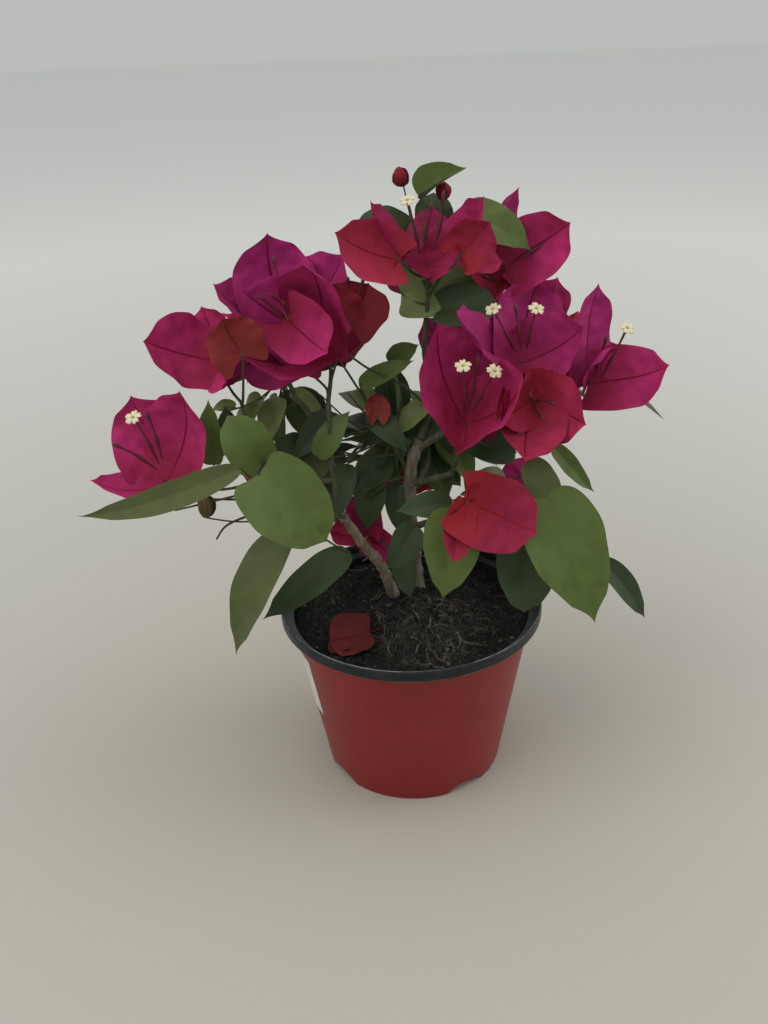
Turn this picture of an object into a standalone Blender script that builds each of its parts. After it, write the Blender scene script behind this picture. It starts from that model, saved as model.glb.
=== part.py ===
"""A bougainvillea in bloom in a thin plastic pot.

Tables are in millimetres: +Z is up, -Y is the side the plant was grown to be seen from, and the
origin is the centre of the pot's flat underside. Everything is scaled to metres as it is meshed.
Bearings are degrees from +X towards +Y, and rises are degrees above level.
"""

import math
from collections import namedtuple

import bmesh
import bpy
import numpy as np
from mathutils import Vector
from mathutils.bvhtree import BVHTree

MM = 0.001
GAP = 0.3  # air between neighbouring solids
SEED = 7

# Pot
POT_HEIGHT = 108
POT_SIDES = 48
LIP_RADIUS = 78.4
LIP_DROP = 7
LIP_STEP = 6.2
FOOT_RADIUS = 53.8
WALL = 1.3
FLOOR = 1.5
NOTCHES = 4
NOTCH_BEARING = -57
NOTCH_HALF_ANGLE = 13
NOTCH_HEIGHT = 6
NOTCH_SIDES = 8
NOTCH_SUNK = -0.7  # where the arch springs from, below the underside
NOTCH_REACH = (0.86, 1.15)  # shares of the foot's radius

# Soil
SOIL_EDGE = 96
MOUND_TOP = 106
MOUND_CENTRE = (-7, 13)
MOUND_RADIUS = 17
SOIL_RINGS = 5
SOIL_SIDES = 32

# Limbs and foliage
STEM_SIDES = 9
BOUGH_SIDES = 7
LIMB_STEPS = 2
FLARE = 1.5
FLARE_HEIGHT = 14
TWIG_RADIUS = 1.1
TWIG_TIP = 0.8
TWIG_BEND = 0.1
LONG_STALK = 16
SPRAY_LEAVES = ((0.45, 55), (0.75, -55), (1.0, 0))  # share of the twig's reach, and the turn off its heading
ROOT_STEPS = 5  # places on each stretch of a mass's stem where a stalk may leave it
SINK = 2.5  # how far a stalk runs into what it carries
THICKNESS_SHARE = 0.02
THINNEST = 0.9
LIGHT = np.array([0, -0.91, 0.41])  # bracts at the front turn their faces this way
LIGHT_TURN = 1.2
NUDGES = (0, -4, 4, -8, 8, -12, 12)  # how far a crowded bloom or leaf is moved along Y

Profile = namedtuple("Profile", "rise fall arch fold")
LEAF_SHAPE = Profile(rise=0.6, fall=0.85, arch=0.10, fold=0.30)
BRACT_SHAPE = Profile(rise=0.5, fall=0.75, arch=-0.12, fold=0.30)
FINE_STATIONS = (0.09, 0.38, 0.76)
PLAIN_STATIONS = (0.16, 0.6)

FACES = {
    "front": (0, -1, 0.35),
    "front_up": (0, -0.75, 0.65),
    "front_left": (-0.6, -0.75, 0.3),
    "front_right": (0.6, -0.75, 0.3),
    "up": (0, 0, 1),
}

Limb = namedtuple("Limb", "parent radii path")
LIMBS = {
    "main_stem": Limb(None, (4.9, 3.6), [(5, 17), (2, 9, 150), (2, 2, 191), (8, 4, 209)]),
    "left_cane": Limb(None, (4.3, 3.2), [(-10, 10), (-17, 0, 131), (-26, -7, 147), (-39, -14, 174)]),
    "left_shoot": Limb(
        "left_cane", (2.0, 1.6), [(-38, -13, 172), (-41, -15, 187), (-42, -15, 204), (-42, -13, 241)]
    ),
    "upright": Limb("main_stem", (3.3, 1.9), [(8, 4, 209), (15, 13, 232), (12, 15, 256), (13, 15, 271)]),
    "right_bough": Limb("main_stem", (2.5, 1.7), [(5, 3, 203), (26, 0, 217), (52, 5, 228)]),
    "high_right_bough": Limb("upright", (2.2, 1.6), [(14, 14, 238), (26, 22, 255), (40, 29, 266)]),
    "centre_bough": Limb("main_stem", (2.4, 1.8), [(2, 3, 182), (14, -3, 187), (25, -5, 191)]),
    "low_right_bough": Limb("main_stem", (2.4, 1.8), [(2, 9, 150), (11, 2, 157), (19, -4, 163)]),
    "left_bough": Limb("left_shoot", (1.9, 1.5), [(-42, -15, 194), (-60, -25, 199), (-77, -30, 207)]),
    "back_left_bough": Limb("left_shoot", (1.9, 1.6), [(-42, -14, 212), (-55, 18, 222), (-64, 36, 226)]),
    "back_right_bough": Limb("upright", (2.6, 1.8), [(14, 11, 226), (36, 32, 228), (56, 42, 226)]),
    "back_centre_bough": Limb("main_stem", (2.6, 1.8), [(1, 4, 176), (10, 24, 180), (14, 38, 182)]),
    "back_low_left_bough": Limb("left_cane", (2.4, 1.8), [(-13, 5, 121), (-30, 25, 132), (-48, 34, 150)]),
    "back_low_right_bough": Limb("main_stem", (2.6, 1.8), [(3, 12, 134), (23, 26, 130), (42, 36, 128)]),
}

Bloom = namedtuple("Bloom", "base bracts")  # each bract: bearing, rise, length, width
Leaf = namedtuple("Leaf", "base bearing rise length width face")
Bud = namedtuple("Bud", "base bearing rise length width")


def rosette(base, bearing, rise, size, roll, opening=48):
    """A bloom whose three like bracts stand round one axis."""
    axis = heading(bearing, rise)
    over = unit(np.cross(axis, (-axis[1], axis[0], 0.01)))
    across = np.cross(axis, over)
    bracts = []
    for turn in range(3):
        angle = math.radians(roll + 120 * turn)
        out = math.cos(angle) * over + math.sin(angle) * across
        way = math.cos(math.radians(opening)) * axis + math.sin(math.radians(opening)) * out
        level = math.hypot(way[0], way[1])
        bracts.append((math.degrees(math.atan2(way[1], way[0])), math.degrees(math.atan2(way[2], level)),
                       size, 0.85 * size))
    return Bloom(base, bracts)


# Vectors


def unit(vector):
    return np.asarray(vector, float) / np.linalg.norm(vector)


def heading(bearing, rise):
    around, up = math.radians(bearing), math.radians(rise)
    return np.array([math.cos(up) * math.cos(around), math.cos(up) * math.sin(around), math.sin(up)])


def smooth_path(points, steps):
    """The points with a Catmull-Rom curve through them."""
    points = np.asarray(points, float)
    padded = np.vstack([2 * points[0] - points[1], points, 2 * points[-1] - points[-2]])
    curve = []
    for a, b, c, d in zip(padded, padded[1:], padded[2:], padded[3:]):
        for step in range(steps):
            t = step / steps
            curve.append(0.5 * (2 * b + (c - a) * t + (2 * a - 5 * b + 4 * c - d) * t**2
                                + (3 * b - a - 3 * c + d) * t**3))
    return np.array(curve + [points[-1]])


# Meshes, as points in millimetres and faces


def tube(path, radii, sides):
    """A round limb along a path, with a flat end at each end."""
    path = np.asarray(path, float)
    ways = [unit(b - a) for a, b in zip(path, path[1:])]
    ways = [ways[0]] + [unit(a + b) for a, b in zip(ways, ways[1:])] + [ways[-1]]
    side = unit(np.cross(ways[0], (0.31, 0.95, 0.05)))
    points = []
    for centre, way, radius in zip(path, ways, radii):
        side = unit(side - side.dot(way) * way)
        other = np.cross(way, side)
        for k in range(sides):
            angle = 2 * math.pi * k / sides
            points.append(centre + radius * (math.cos(angle) * side + math.sin(angle) * other))
    faces = [tuple(range(sides))[::-1], tuple(range(len(points) - sides, len(points)))]
    for ring in range(len(path) - 1):
        for k in range(sides):
            a, b = ring * sides + k, ring * sides + (k + 1) % sides
            faces.append((a, b, b + sides, a + sides))
    return np.array(points), faces


def blade(base, tip, width, face, shape, margin=0.0, stations=FINE_STATIONS):
    """A leaf or bract: a folded, arched lens that is thickest along its midrib."""
    base, tip = np.asarray(base, float), np.asarray(tip, float)
    length = np.linalg.norm(tip - base)
    along = (tip - base) / length
    up = unit(face - np.dot(face, along) * along)
    side = np.cross(along, up)
    half_thick = max(THINNEST, THICKNESS_SHARE * length) / 2 + margin
    widest = shape.rise / (shape.rise + shape.fall)
    full = widest**shape.rise * (1 - widest) ** shape.fall
    points = [base - margin * along]
    for t in stations:
        middle = base + t * length * along + 4 * t * (1 - t) * shape.arch * length * up
        half = width / 2 * t**shape.rise * (1 - t) ** shape.fall / full
        raised = shape.fold * half * up
        points += [middle + (half + margin) * side + raised, middle + half_thick * up,
                   middle - (half + margin) * side + raised, middle - half_thick * up]
    points.append(tip + margin * along)
    last = len(points) - 1
    faces = []
    for k in range(4):
        after = (k + 1) % 4
        faces.append((0, 1 + k, 1 + after))
        faces.append((last, last - 4 + after, last - 4 + k))
        for ring in range(len(stations) - 1):
            a, b = 1 + 4 * ring + k, 1 + 4 * ring + after
            faces.append((a, a + 4, b + 4, b))
    return np.array(points), faces


def bud_mesh(bud, margin=0.0):
    way = heading(bud.bearing, bud.rise)
    swell = ((0.0, 0.25), (0.25, 0.9), (0.55, 1.0), (0.85, 0.6), (1.0, 0.15))
    path = [np.array(bud.base) + t * bud.length * way for t, _ in swell]
    return tube(path, [r * bud.width / 2 + margin for _, r in swell], 6)


def mesh_object(name, points, faces, materials, index=0):
    mesh = bpy.data.meshes.new(name)
    mesh.from_pydata([tuple(p) for p in np.asarray(points, float) * MM], [], faces)
    for material in materials:
        mesh.materials.append(material)
    mesh.polygons.foreach_set("material_index", [index] * len(mesh.polygons))
    mesh.update()
    obj = bpy.data.objects.new(name, mesh)
    bpy.context.scene.collection.objects.link(obj)
    return obj


def principled(name, colour, roughness):
    material = bpy.data.materials.new(name)
    material.use_nodes = True
    shader = material.node_tree.nodes["Principled BSDF"]
    shader.inputs["Base Color"].default_value = (*colour, 1)
    shader.inputs["Roughness"].default_value = roughness
    shader.inputs["Metallic"].default_value = 0
    return material


def shade_round(obj, degrees=40):
    obj.data.shade_smooth()
    obj.data.set_sharp_from_angle(angle=math.radians(degrees))


# Pot and soil


def turned(profile, sides):
    """A closed profile of (radius, height) turned about Z. A radius of 0 is one point on the axis."""
    points, rings = [], []
    for radius, height in profile:
        if radius == 0:
            rings.append([len(points)] * sides)
            points.append((0, 0, height))
            continue
        rings.append(list(range(len(points), len(points) + sides)))
        for k in range(sides):
            angle = 2 * math.pi * k / sides
            points.append((radius * math.cos(angle), radius * math.sin(angle), height))
    faces = []
    for low, high in zip(rings, rings[1:]):
        for k in range(sides):
            after = (k + 1) % sides
            corners = [low[k], low[after], high[after], high[k]]
            faces.append(tuple(dict.fromkeys(corners)))
    return np.array(points, float), faces


def wall_radius(height):
    """The outside of the pot's wall, under the lip."""
    under_lip = POT_HEIGHT - LIP_DROP
    share = height / under_lip
    return FOOT_RADIUS + share * (LIP_RADIUS - LIP_STEP - FOOT_RADIUS)


def notch_cutter(name):
    """An arch pushed out along +X through the foot of the wall."""
    half_width = FOOT_RADIUS * math.sin(math.radians(NOTCH_HALF_ANGLE))
    arch = []
    for step in range(NOTCH_SIDES + 1):
        angle = math.pi * step / NOTCH_SIDES
        arch.append((half_width * math.cos(angle), NOTCH_SUNK + (NOTCH_HEIGHT - NOTCH_SUNK) * math.sin(angle)))
    points = [(reach * FOOT_RADIUS, *across) for reach in NOTCH_REACH for across in arch]
    count = len(arch)
    faces = [tuple(range(count))[::-1], tuple(range(count, 2 * count))]
    faces += [(k, (k + 1) % count, (k + 1) % count + count, k + count) for k in range(count)]
    cutter = mesh_object(name, points, faces, [])
    cutter.hide_render = True
    cutter.display_type = "WIRE"
    return cutter


def make_pot(material):
    under_lip = POT_HEIGHT - LIP_DROP
    lip_inside = LIP_RADIUS - WALL
    profile = [
        (0, 0),
        (FOOT_RADIUS, 0),
        (wall_radius(under_lip), under_lip),
        (LIP_RADIUS, under_lip),
        (LIP_RADIUS, POT_HEIGHT),
        (lip_inside, POT_HEIGHT),
        (lip_inside, under_lip + WALL),
        (wall_radius(under_lip + WALL) - WALL, under_lip + WALL),
        (wall_radius(FLOOR) - WALL, FLOOR),
        (0, FLOOR),
    ]
    pot = mesh_object("pot", *turned(profile, POT_SIDES), [material])
    for number in range(NOTCHES):
        cutter = notch_cutter(f"notch_{number + 1}")
        cutter.rotation_euler.z = math.radians(NOTCH_BEARING + number * 360 / NOTCHES)
        cut = pot.modifiers.new("notch", "BOOLEAN")
        cut.operation = "DIFFERENCE"
        cut.object = cutter
    shade_round(pot, 30)
    return pot


def soil_mesh():
    """Peat filled to just under the lip and heaped round the stems, flat where they leave it."""
    edge = wall_radius(SOIL_EDGE) - WALL - 2 * GAP
    bottom = wall_radius(FLOOR) - WALL - 2 * GAP
    points, faces = [(0, 0, FLOOR + GAP)], []
    rings = [(bottom, 0.0, FLOOR + GAP)]
    for ring in range(SOIL_RINGS + 1):
        share = ring / SOIL_RINGS
        eased = share * share * (3 - 2 * share)
        rings.append((edge + share * (MOUND_RADIUS - edge), share, SOIL_EDGE + eased * (MOUND_TOP - SOIL_EDGE)))
    for radius, share, height in rings:
        for k in range(SOIL_SIDES):
            angle = 2 * math.pi * k / SOIL_SIDES
            points.append((share * MOUND_CENTRE[0] + radius * math.cos(angle),
                           share * MOUND_CENTRE[1] + radius * math.sin(angle), height))
    points.append((*MOUND_CENTRE, MOUND_TOP))
    top = len(points) - 1
    for k in range(SOIL_SIDES):
        after = (k + 1) % SOIL_SIDES
        faces.append((0, 1 + after, 1 + k))
        faces.append((top, top - SOIL_SIDES + k, top - SOIL_SIDES + after))
        for ring in range(len(rings) - 1):
            a, b = 1 + ring * SOIL_SIDES + k, 1 + ring * SOIL_SIDES + after
            faces.append((a, b, b + SOIL_SIDES, a + SOIL_SIDES))
    return np.array(points, float), faces


def soil_height(x, y):
    points, faces = soil_mesh()
    tree = BVHTree.FromPolygons([tuple(p) for p in points], faces)
    hit = tree.ray_cast(Vector((x, y, 200)), Vector((0, 0, -1)))
    return hit[0].z


# Growth


class Plant:
    """Every solid so far, so that the next one can keep clear of those it isn't fused to."""

    def __init__(self):
        self.trees = []

    def add(self, owner, points, faces):
        tree = BVHTree.FromPolygons([tuple(p) for p in points], faces)
        self.trees.append((owner, points.min(axis=0), points.max(axis=0), tree))

    def clear(self, joined, points, faces):
        """Whether this solid keeps clear of all but the ones it is joined to."""
        low, high = points.min(axis=0), points.max(axis=0)
        tree = None
        for other, bottom, top, found in self.trees:
            if other in joined or (low > top).any() or (bottom > high).any():
                continue
            tree = tree or BVHTree.FromPolygons([tuple(p) for p in points], faces)
            if tree.overlap(found):
                return False
        return True


def limb_radii(limb, path, flared):
    start, end = limb.radii
    count = len(path) - 1
    radii = np.array([start + (end - start) * k / count for k in range(count + 1)])
    if flared:
        heights = path[:, 2] - path[0, 2]
        radii *= 1 + (FLARE - 1) * np.clip(1 - heights / FLARE_HEIGHT, 0, 1) ** 2
    return radii


def grow_limbs(plant):
    meshes = {}
    for name, limb in LIMBS.items():
        points = [p if len(p) == 3 else (*p, MOUND_TOP + GAP) for p in limb.path]
        path = smooth_path(points, LIMB_STEPS)
        if limb.parent is None:
            foot = path[0] + (path[1] - path[0]) * (FLARE_HEIGHT * 0.5 / (path[1] - path[0])[2])
            path = np.vstack([path[:1], foot, path[1:]])
            path[1, :2] = 0.6 * path[0, :2] + 0.4 * path[1, :2]
            meshes[name] = tube(path, limb_radii(limb, path, True), STEM_SIDES)
            meshes[name][0][:STEM_SIDES, 2] = MOUND_TOP + GAP
        else:
            meshes[name] = sprung(path, limb_radii(limb, path, False), meshes[limb.parent], BOUGH_SIDES)
        plant.add(name, *meshes[name])
    return meshes


def sprung(path, radii, parent, sides):
    """A limb that starts just clear of its parent's surface, slid out along its own path."""
    tree = BVHTree.FromPolygons([tuple(p) for p in parent[0]], parent[1])
    lengths = np.concatenate([[0], np.cumsum(np.linalg.norm(np.diff(path, axis=0), axis=1))])
    shift = 0.0
    while True:
        marks = np.linspace(shift, lengths[-1], len(path))
        slid = np.column_stack([np.interp(marks, lengths, path[:, axis]) for axis in range(3)])
        points, faces = tube(slid, radii, sides)
        nearest = min(tree.find_nearest(Vector(p))[3] for p in points[:sides])
        inside = tree.find_nearest(Vector(slid[0]))
        outside = (Vector(slid[0]) - inside[0]).dot(inside[1]) > 0
        own = BVHTree.FromPolygons([tuple(p) for p in points], faces)
        if outside and nearest >= GAP and not own.overlap(tree):
            return points, faces
        shift += 0.1


# Foliage masses. A mass hangs on one stem, which starts at the tip or on the side of a limb.

Mass = namedtuple("Mass", "limb stem blooms leaves buds twigs sprays space", defaults=([], [], [], [], 0, None))
MASSES = {
    "left_top": Mass(
        "left_shoot", [(-42, -13, 241), (-40, -8, 254), (-41, -8, 266)],
        blooms=[
            Bloom((-44, -12, 271), [(-100, 60, 58, 40), (-170, 40, 52, 44), (-145, 10, 53, 36)]),
            Bloom((-65, 20, 277), [(125, 75, 48, 46), (180, 30, 44, 40), (10, 45, 49, 40)]),
            Bloom((-57, 8, 266), [(180, -20, 40, 36), (-65, -25, 27, 9)]),
            Bloom((-31, 0, 270), [(30, 55, 34, 42), (140, 75, 30, 24), (80, 40, 41, 20)]),
        ],
    ),
    "top": Mass(
        "upright", [(13, 15, 271), (14, 15, 287), (14, 14, 302)],
        blooms=[
            Bloom((14, 13, 306), [(-155, 50, 50, 24), (-25, 50, 50, 26), (80, 40, 42, 26)]),
            Bloom((5, 2, 308), [(-160, 25, 44, 42), (120, 25, 42, 26), (110, 35, 23, 20)]),
            Bloom((29, 0, 313), [(-35, 45, 28, 28), (25, -15, 27, 22), (70, 20, 33, 20)]),
        ],
        leaves=[
            Leaf((12, 30, 339), 0, 35, 27, 24, "front_up"),
            Leaf((7, 45, 313), 180, 15, 34, 26, "front_up"),
            Leaf((19, 45, 317), 80, 75, 22, 22, "front"),
            Leaf((34, 30, 328), -5, -20, 42, 26, "front_up"),
            Leaf((14, 25, 280), 25, 45, 33, 42, "front"),
        ],
        buds=[Bud((3, 33, 345), 120, 60, 11, 9), Bud((23, 26, 338), 60, 65, 10, 8)],
    ),
    "high_right": Mass(
        "high_right_bough", [(40, 29, 266), (52, 28, 283), (58, 25, 290)],
        blooms=[
            Bloom((59, 22, 296), [(-20, 40, 47, 44), (60, 65, 45, 20), (20, -20, 25, 20)]),
            Bloom((54, 22, 292), [(-155, 45, 25, 20), (95, 55, 22, 18), (-125, -25, 17, 14)]),
        ],
        leaves=[
            Leaf((19, 25, 281), -10, 5, 36, 30, "front_up"),
            Leaf((38, 25, 273), -165, -20, 22, 22, "front"),
        ],
    ),
    "right": Mass(
        "right_bough", [(52, 5, 228), (75, 5, 241), (94, 5, 241)],
        blooms=[
            Bloom((64, -2, 254), [(-145, 40, 60, 32), (-20, 35, 40, 40), (65, 55, 49, 42)]),
            Bloom((101, 0, 236), [(65, 75, 57, 30), (-20, 20, 45, 44), (-70, 50, 38, 22)]),
        ],
        leaves=[
            Leaf((104, 8, 236), -10, -25, 46, 13, "up"),
            Leaf((90, 15, 231), 180, 70, 18, 14, "front"),
        ],
    ),
    "centre": Mass(
        "centre_bough", [(25, -5, 191), (30, -14, 212), (34, -22, 225)],
        blooms=[
            Bloom((32, -25, 229), [(170, 75, 58, 46), (-45, 45, 51, 44), (65, 45, 57, 40)]),
            Bloom((67, -25, 241), [(-35, -15, 32, 38), (-105, -40, 37, 38), (-130, -5, 31, 24), (25, 50, 19, 26)]),
        ],
        leaves=[
            Leaf((59, -20, 209), 170, 5, 37, 20, "front_up"),
            Leaf((77, -10, 205), -10, -40, 38, 20, "front_up"),
        ],
    ),
    "low_right": Mass(
        "low_right_bough", [(19, -4, 163), (39, -28, 180), (57, -36, 192)],
        blooms=[Bloom((36, -55, 207), [(-45, -40, 41, 50), (-135, -55, 42, 26), (25, -15, 26, 30)])],
        leaves=[
            Leaf((24, -45, 188), -120, -70, 48, 32, "front"),
            Leaf((69, -40, 194), -35, -60, 79, 46, "front"),
            Leaf((64, -30, 207), -30, -60, 30, 18, "front_right"),
            Leaf((62, -30, 157), -90, -65, 38, 30, "front"),
            Leaf((107, -30, 142), 0, -55, 44, 18, "front_up"),
            Leaf((23, -40, 188), -170, 0, 32, 15, "front_up"),
            Leaf((3, -35, 174), -165, -55, 30, 18, "front"),
        ],
    ),
    "left": Mass(
        "left_bough", [(-77, -30, 207), (-84, -26, 230), (-88, -22, 245)],
        blooms=[
            Bloom((-102, -2, 262), [(-150, 25, 43, 40), (-80, -10, 33, 22), (115, 55, 32, 26)]),
            Bloom((-85, -25, 265), [(145, 70, 25, 30), (70, 25, 29, 18)]),
        ],
        leaves=[
            Leaf((-78, -40, 215), 180, 70, 40, 30, "front"),
            Leaf((-105, -30, 214), 180, 88, 36, 12, "front_left"),
            Leaf((-95, -20, 223), 180, 85, 20, 12, "front"),
        ],
    ),
    "low_left": Mass(
        "left_cane", [(-37, -15, 171), (-57, -37, 186), (-77, -48, 211)],
        blooms=[Bloom((-129, -40, 205), [(-15, 75, 57, 46), (-155, 15, 40, 18), (125, 50, 52, 40)])],
        leaves=[
            Leaf((-87, -45, 218), 180, -15, 89, 20, "front_up"),
            Leaf((-81, -60, 218), -25, -40, 51, 50, "front"),
            Leaf((-64, -55, 183), -175, -60, 82, 28, "front_left"),
            Leaf((-34, -35, 159), -160, -30, 61, 20, "front_up"),
        ],
        buds=[Bud((-107, -50, 203), 100, 75, 8, 11)],
        twigs=[
            [(-70, -44, 202), (-92, -50, 198), (-124, -50, 190)],
            [(-64, -42, 195), (-98, -48, 176), (-106, -50, 170)],
        ],
    ),
    "foot": Mass(
        "left_cane", [(-24, -5, 143), (-23, 8, 144), (-22, 16, 146)],
        blooms=[Bloom((-25, 6, 148), [(100, 75, 26, 22), (175, 8, 23, 21), (-30, -30, 22, 20)])],
        leaves=[Leaf((-5, -20, 152), -65, -70, 30, 14, "front")],
    ),
    "inner": Mass(
        "main_stem", [(2, 3, 188), (-6, 2, 204), (-14, 0, 222)],
        blooms=[Bloom((-16, -5, 226), [(100, 85, 15, 13), (-30, 75, 15, 13), (-150, 75, 15, 13)])],
        leaves=[
            Leaf((-8, 20, 250), 0, 30, 20, 13, "front"),
            Leaf((-25, 5, 242), 0, 24, 34, 12, "front_up"),
            Leaf((-50, -16, 209), 25, 47, 32, 14, "front"),
            Leaf((-19, 8, 188), -120, -72, 36, 18, "front"),
            Leaf((-10, 14, 196), -150, -50, 38, 17, "front_up"),
            Leaf((-5, 10, 180), -100, -70, 30, 15, "front"),
        ],
        sprays=17, space=((-24, 14, 212), (52, 30, 36)),
    ),
    "back_top": Mass(
        "upright", [(12, 15, 262), (14, 34, 274), (16, 48, 280)],
        blooms=[rosette((14, 54, 286), 80, 45, 42, 20), rosette((30, 42, 278), 30, 40, 38, 70)],
        sprays=9, space=((16, 52, 284), (34, 28, 30)),
    ),
    "back_left": Mass(
        "back_left_bough", [(-64, 36, 226), (-70, 48, 238), (-74, 56, 244)],
        blooms=[rosette((-78, 62, 248), 110, 40, 46, 0), rosette((-92, 42, 244), 170, 35, 42, 50),
                rosette((-48, 62, 240), 70, 45, 44, 90)],
        sprays=11, space=((-72, 54, 226), (48, 38, 34)),
    ),
    "back_right": Mass(
        "back_right_bough", [(56, 42, 226), (66, 50, 236), (72, 56, 242)],
        blooms=[rosette((74, 62, 246), 70, 40, 46, 30), rosette((94, 42, 234), 20, 30, 42, 80),
                rosette((42, 66, 232), 110, 45, 42, 60)],
        sprays=10, space=((70, 52, 222), (46, 38, 34)),
    ),
    "back_centre": Mass(
        "back_centre_bough", [(14, 38, 182), (16, 52, 192), (16, 62, 202)],
        blooms=[rosette((34, 80, 196), 70, 30, 44, 60), rosette((4, 84, 170), 95, 10, 42, 0)],
        sprays=12, space=((12, 64, 186), (50, 38, 36)),
    ),
    "back_low_left": Mass(
        "back_low_left_bough", [(-48, 34, 150), (-60, 44, 158), (-68, 50, 166)],
        blooms=[rosette((-76, 54, 168), 140, 20, 42, 40)],
        sprays=14, space=((-62, 48, 164), (42, 36, 30)),
    ),
    "back_low_right": Mass(
        "back_low_right_bough", [(42, 36, 128), (56, 42, 138), (66, 46, 148)],
        blooms=[rosette((72, 50, 152), 40, 20, 42, 10)],
        sprays=9, space=((64, 46, 146), (42, 34, 30)),
    ),
}


def bloom_blades(bloom, shift, margin=0.0):
    """The bracts of a bloom, faces turned to the inside of the bloom and to the light."""
    base = np.array(bloom.base, float) + shift
    ways = [heading(bearing, rise) for bearing, rise, _, _ in bloom.bracts]
    axis = unit(sum(ways))
    light = LIGHT if base[1] < 40 else LIGHT * (1, -1, 1)
    face = unit(axis + LIGHT_TURN * light)
    for way, (_, _, length, width) in zip(ways, bloom.bracts):
        yield blade(base, base + length * way, width, face, BRACT_SHAPE, margin)


def leaf_blade(leaf, shift, margin=0.0):
    base = np.array(leaf.base, float) + shift
    tip = base + leaf.length * heading(leaf.bearing, leaf.rise)
    return blade(base, tip, leaf.width, np.array(FACES[leaf.face]), LEAF_SHAPE, margin)


def sagging(start, end, share):
    """The place on a sagging stalk at this share of its reach."""
    drop = 4 * share * (1 - share) * TWIG_BEND * np.linalg.norm(end - start)
    return start + share * (end - start) - (0, 0, drop)


def stalk(start, end, onward, margin=0.0):
    """A three-sided twig from the stem to just inside what it carries. A long one sags a little."""
    start, end = np.asarray(start, float), np.asarray(end, float)
    reach = np.linalg.norm(end - start)
    path = [start, end, end + SINK * onward]
    radii = [TWIG_RADIUS, TWIG_TIP, TWIG_TIP]
    if reach > LONG_STALK:
        path.insert(1, sagging(start, end, 0.5))
        radii.insert(1, TWIG_RADIUS)
    return tube(path, np.array(radii) + margin, 3)


BARK, LEAF, BRACT = range(3)


def blades_of(name):
    return name + "_blades"


def grow_mass(plant, name, mass, limbs):
    """The named pieces of a mass as (points, faces, material index), the stem first."""
    stem_path = smooth_path(mass.stem, 2)
    stem = sprung(stem_path, np.linspace(TWIG_RADIUS * 1.6, TWIG_RADIUS, len(stem_path)), limbs[mass.limb], 5)
    pieces = [(*stem, BARK)]
    roots = list(smooth_path(mass.stem, ROOT_STEPS)[:ROOT_STEPS - 1:-1])
    own = (name, blades_of(name))
    plant.add(name, *stem)

    def try_piece(base, onward, parts, fat_parts, index):
        if not all(plant.clear(own, *part) for part in fat_parts):
            return False
        first = len(pieces) % len(roots)
        for root in roots[first:] + roots[:first]:
            if plant.clear(own, *stalk(root, base, onward, GAP)):
                pieces.extend([(*part, index) for part in parts] + [(*stalk(root, base, onward), BARK)])
                for part in parts:
                    plant.add(blades_of(name), *part)
                plant.add(name, *stalk(root, base, onward))
                return True
        return False

    for bloom in mass.blooms:
        axis = unit(sum(heading(bearing, rise) for bearing, rise, _, _ in bloom.bracts))
        for nudge in NUDGES:
            shift = np.array([0, nudge, 0])
            if try_piece(np.array(bloom.base) + shift, axis, list(bloom_blades(bloom, shift)),
                         list(bloom_blades(bloom, shift, GAP)), BRACT):
                break
        else:
            print(f"{name}: no room for the bloom at {bloom.base}")
    for leaf in mass.leaves:
        way = heading(leaf.bearing, leaf.rise)
        for nudge in NUDGES:
            shift = np.array([0, nudge, 0])
            if try_piece(np.array(leaf.base) + shift, way, [leaf_blade(leaf, shift)],
                         [leaf_blade(leaf, shift, GAP)], LEAF):
                break
        else:
            print(f"{name}: no room for the leaf at {leaf.base}")
    for bud in mass.buds:
        way = heading(bud.bearing, bud.rise)
        if not try_piece(bud.base, way, [bud_mesh(bud)], [bud_mesh(bud, GAP)], BRACT):
            print(f"{name}: no room for the bud at {bud.base}")
    for path in mass.twigs:
        radii = np.array([TWIG_RADIUS, TWIG_RADIUS, TWIG_TIP])
        if plant.clear(own, *tube(path, radii + GAP, 3)):
            pieces.append((*tube(path, radii, 3), BARK))
            plant.add(name, *pieces[-1][:2])
    return pieces, roots


def in_space(space, point):
    centre, radii = np.array(space[0]), np.array(space[1])
    return (((np.asarray(point) - centre) / radii) ** 2).sum() <= 1


def grow_sprays(plant, name, mass, pieces, roots, rng):
    """Seeded leafy twigs that fill the mass's own space and skip what would leave it or touch."""
    for _ in range(mass.sprays):
        root = roots[rng.integers(len(roots))]
        centre, radii = np.array(mass.space[0]), np.array(mass.space[1])
        goal = centre + radii * unit(rng.normal(size=3)) * rng.uniform(0.45, 0.85)
        way = unit(goal - root)
        if np.linalg.norm(goal - root) < LONG_STALK:
            continue
        twig, fat_twig = stalk(root, goal, way), stalk(root, goal, way, GAP)
        if not (in_space(mass.space, goal) and plant.clear((name,), *fat_twig)):
            continue
        outward = unit(goal - centre)
        face = unit(0.6 * outward + (0, 0, 0.9))
        new = []
        for share, turn in SPRAY_LEAVES:
            middle = sagging(root, goal, 0.5)
            if share < 0.5:
                base = root + 2 * share * (middle - root)
            else:
                base = middle + (2 * share - 1) * (goal - middle)
            swing = math.radians(turn + rng.uniform(-15, 15))
            level = np.cross(face, way)
            ahead = unit(math.cos(swing) * way + math.sin(swing) * level + (0, 0, rng.uniform(-0.5, 0.1)))
            length = rng.uniform(26, 44)
            tip = base + length * ahead
            width = length * rng.uniform(0.5, 0.62)
            if not in_space(mass.space, base + 0.7 * length * ahead):
                continue
            if plant.clear((name,), *blade(base, tip, width, face, LEAF_SHAPE, GAP, PLAIN_STATIONS)):
                new.append(blade(base, tip, width, face, LEAF_SHAPE, 0, PLAIN_STATIONS))
        if new:
            plant.add(name, *twig)
            for part in new:
                plant.add(blades_of(name), *part)
            pieces.extend([(*part, LEAF) for part in new] + [(*twig, BARK)])


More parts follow.
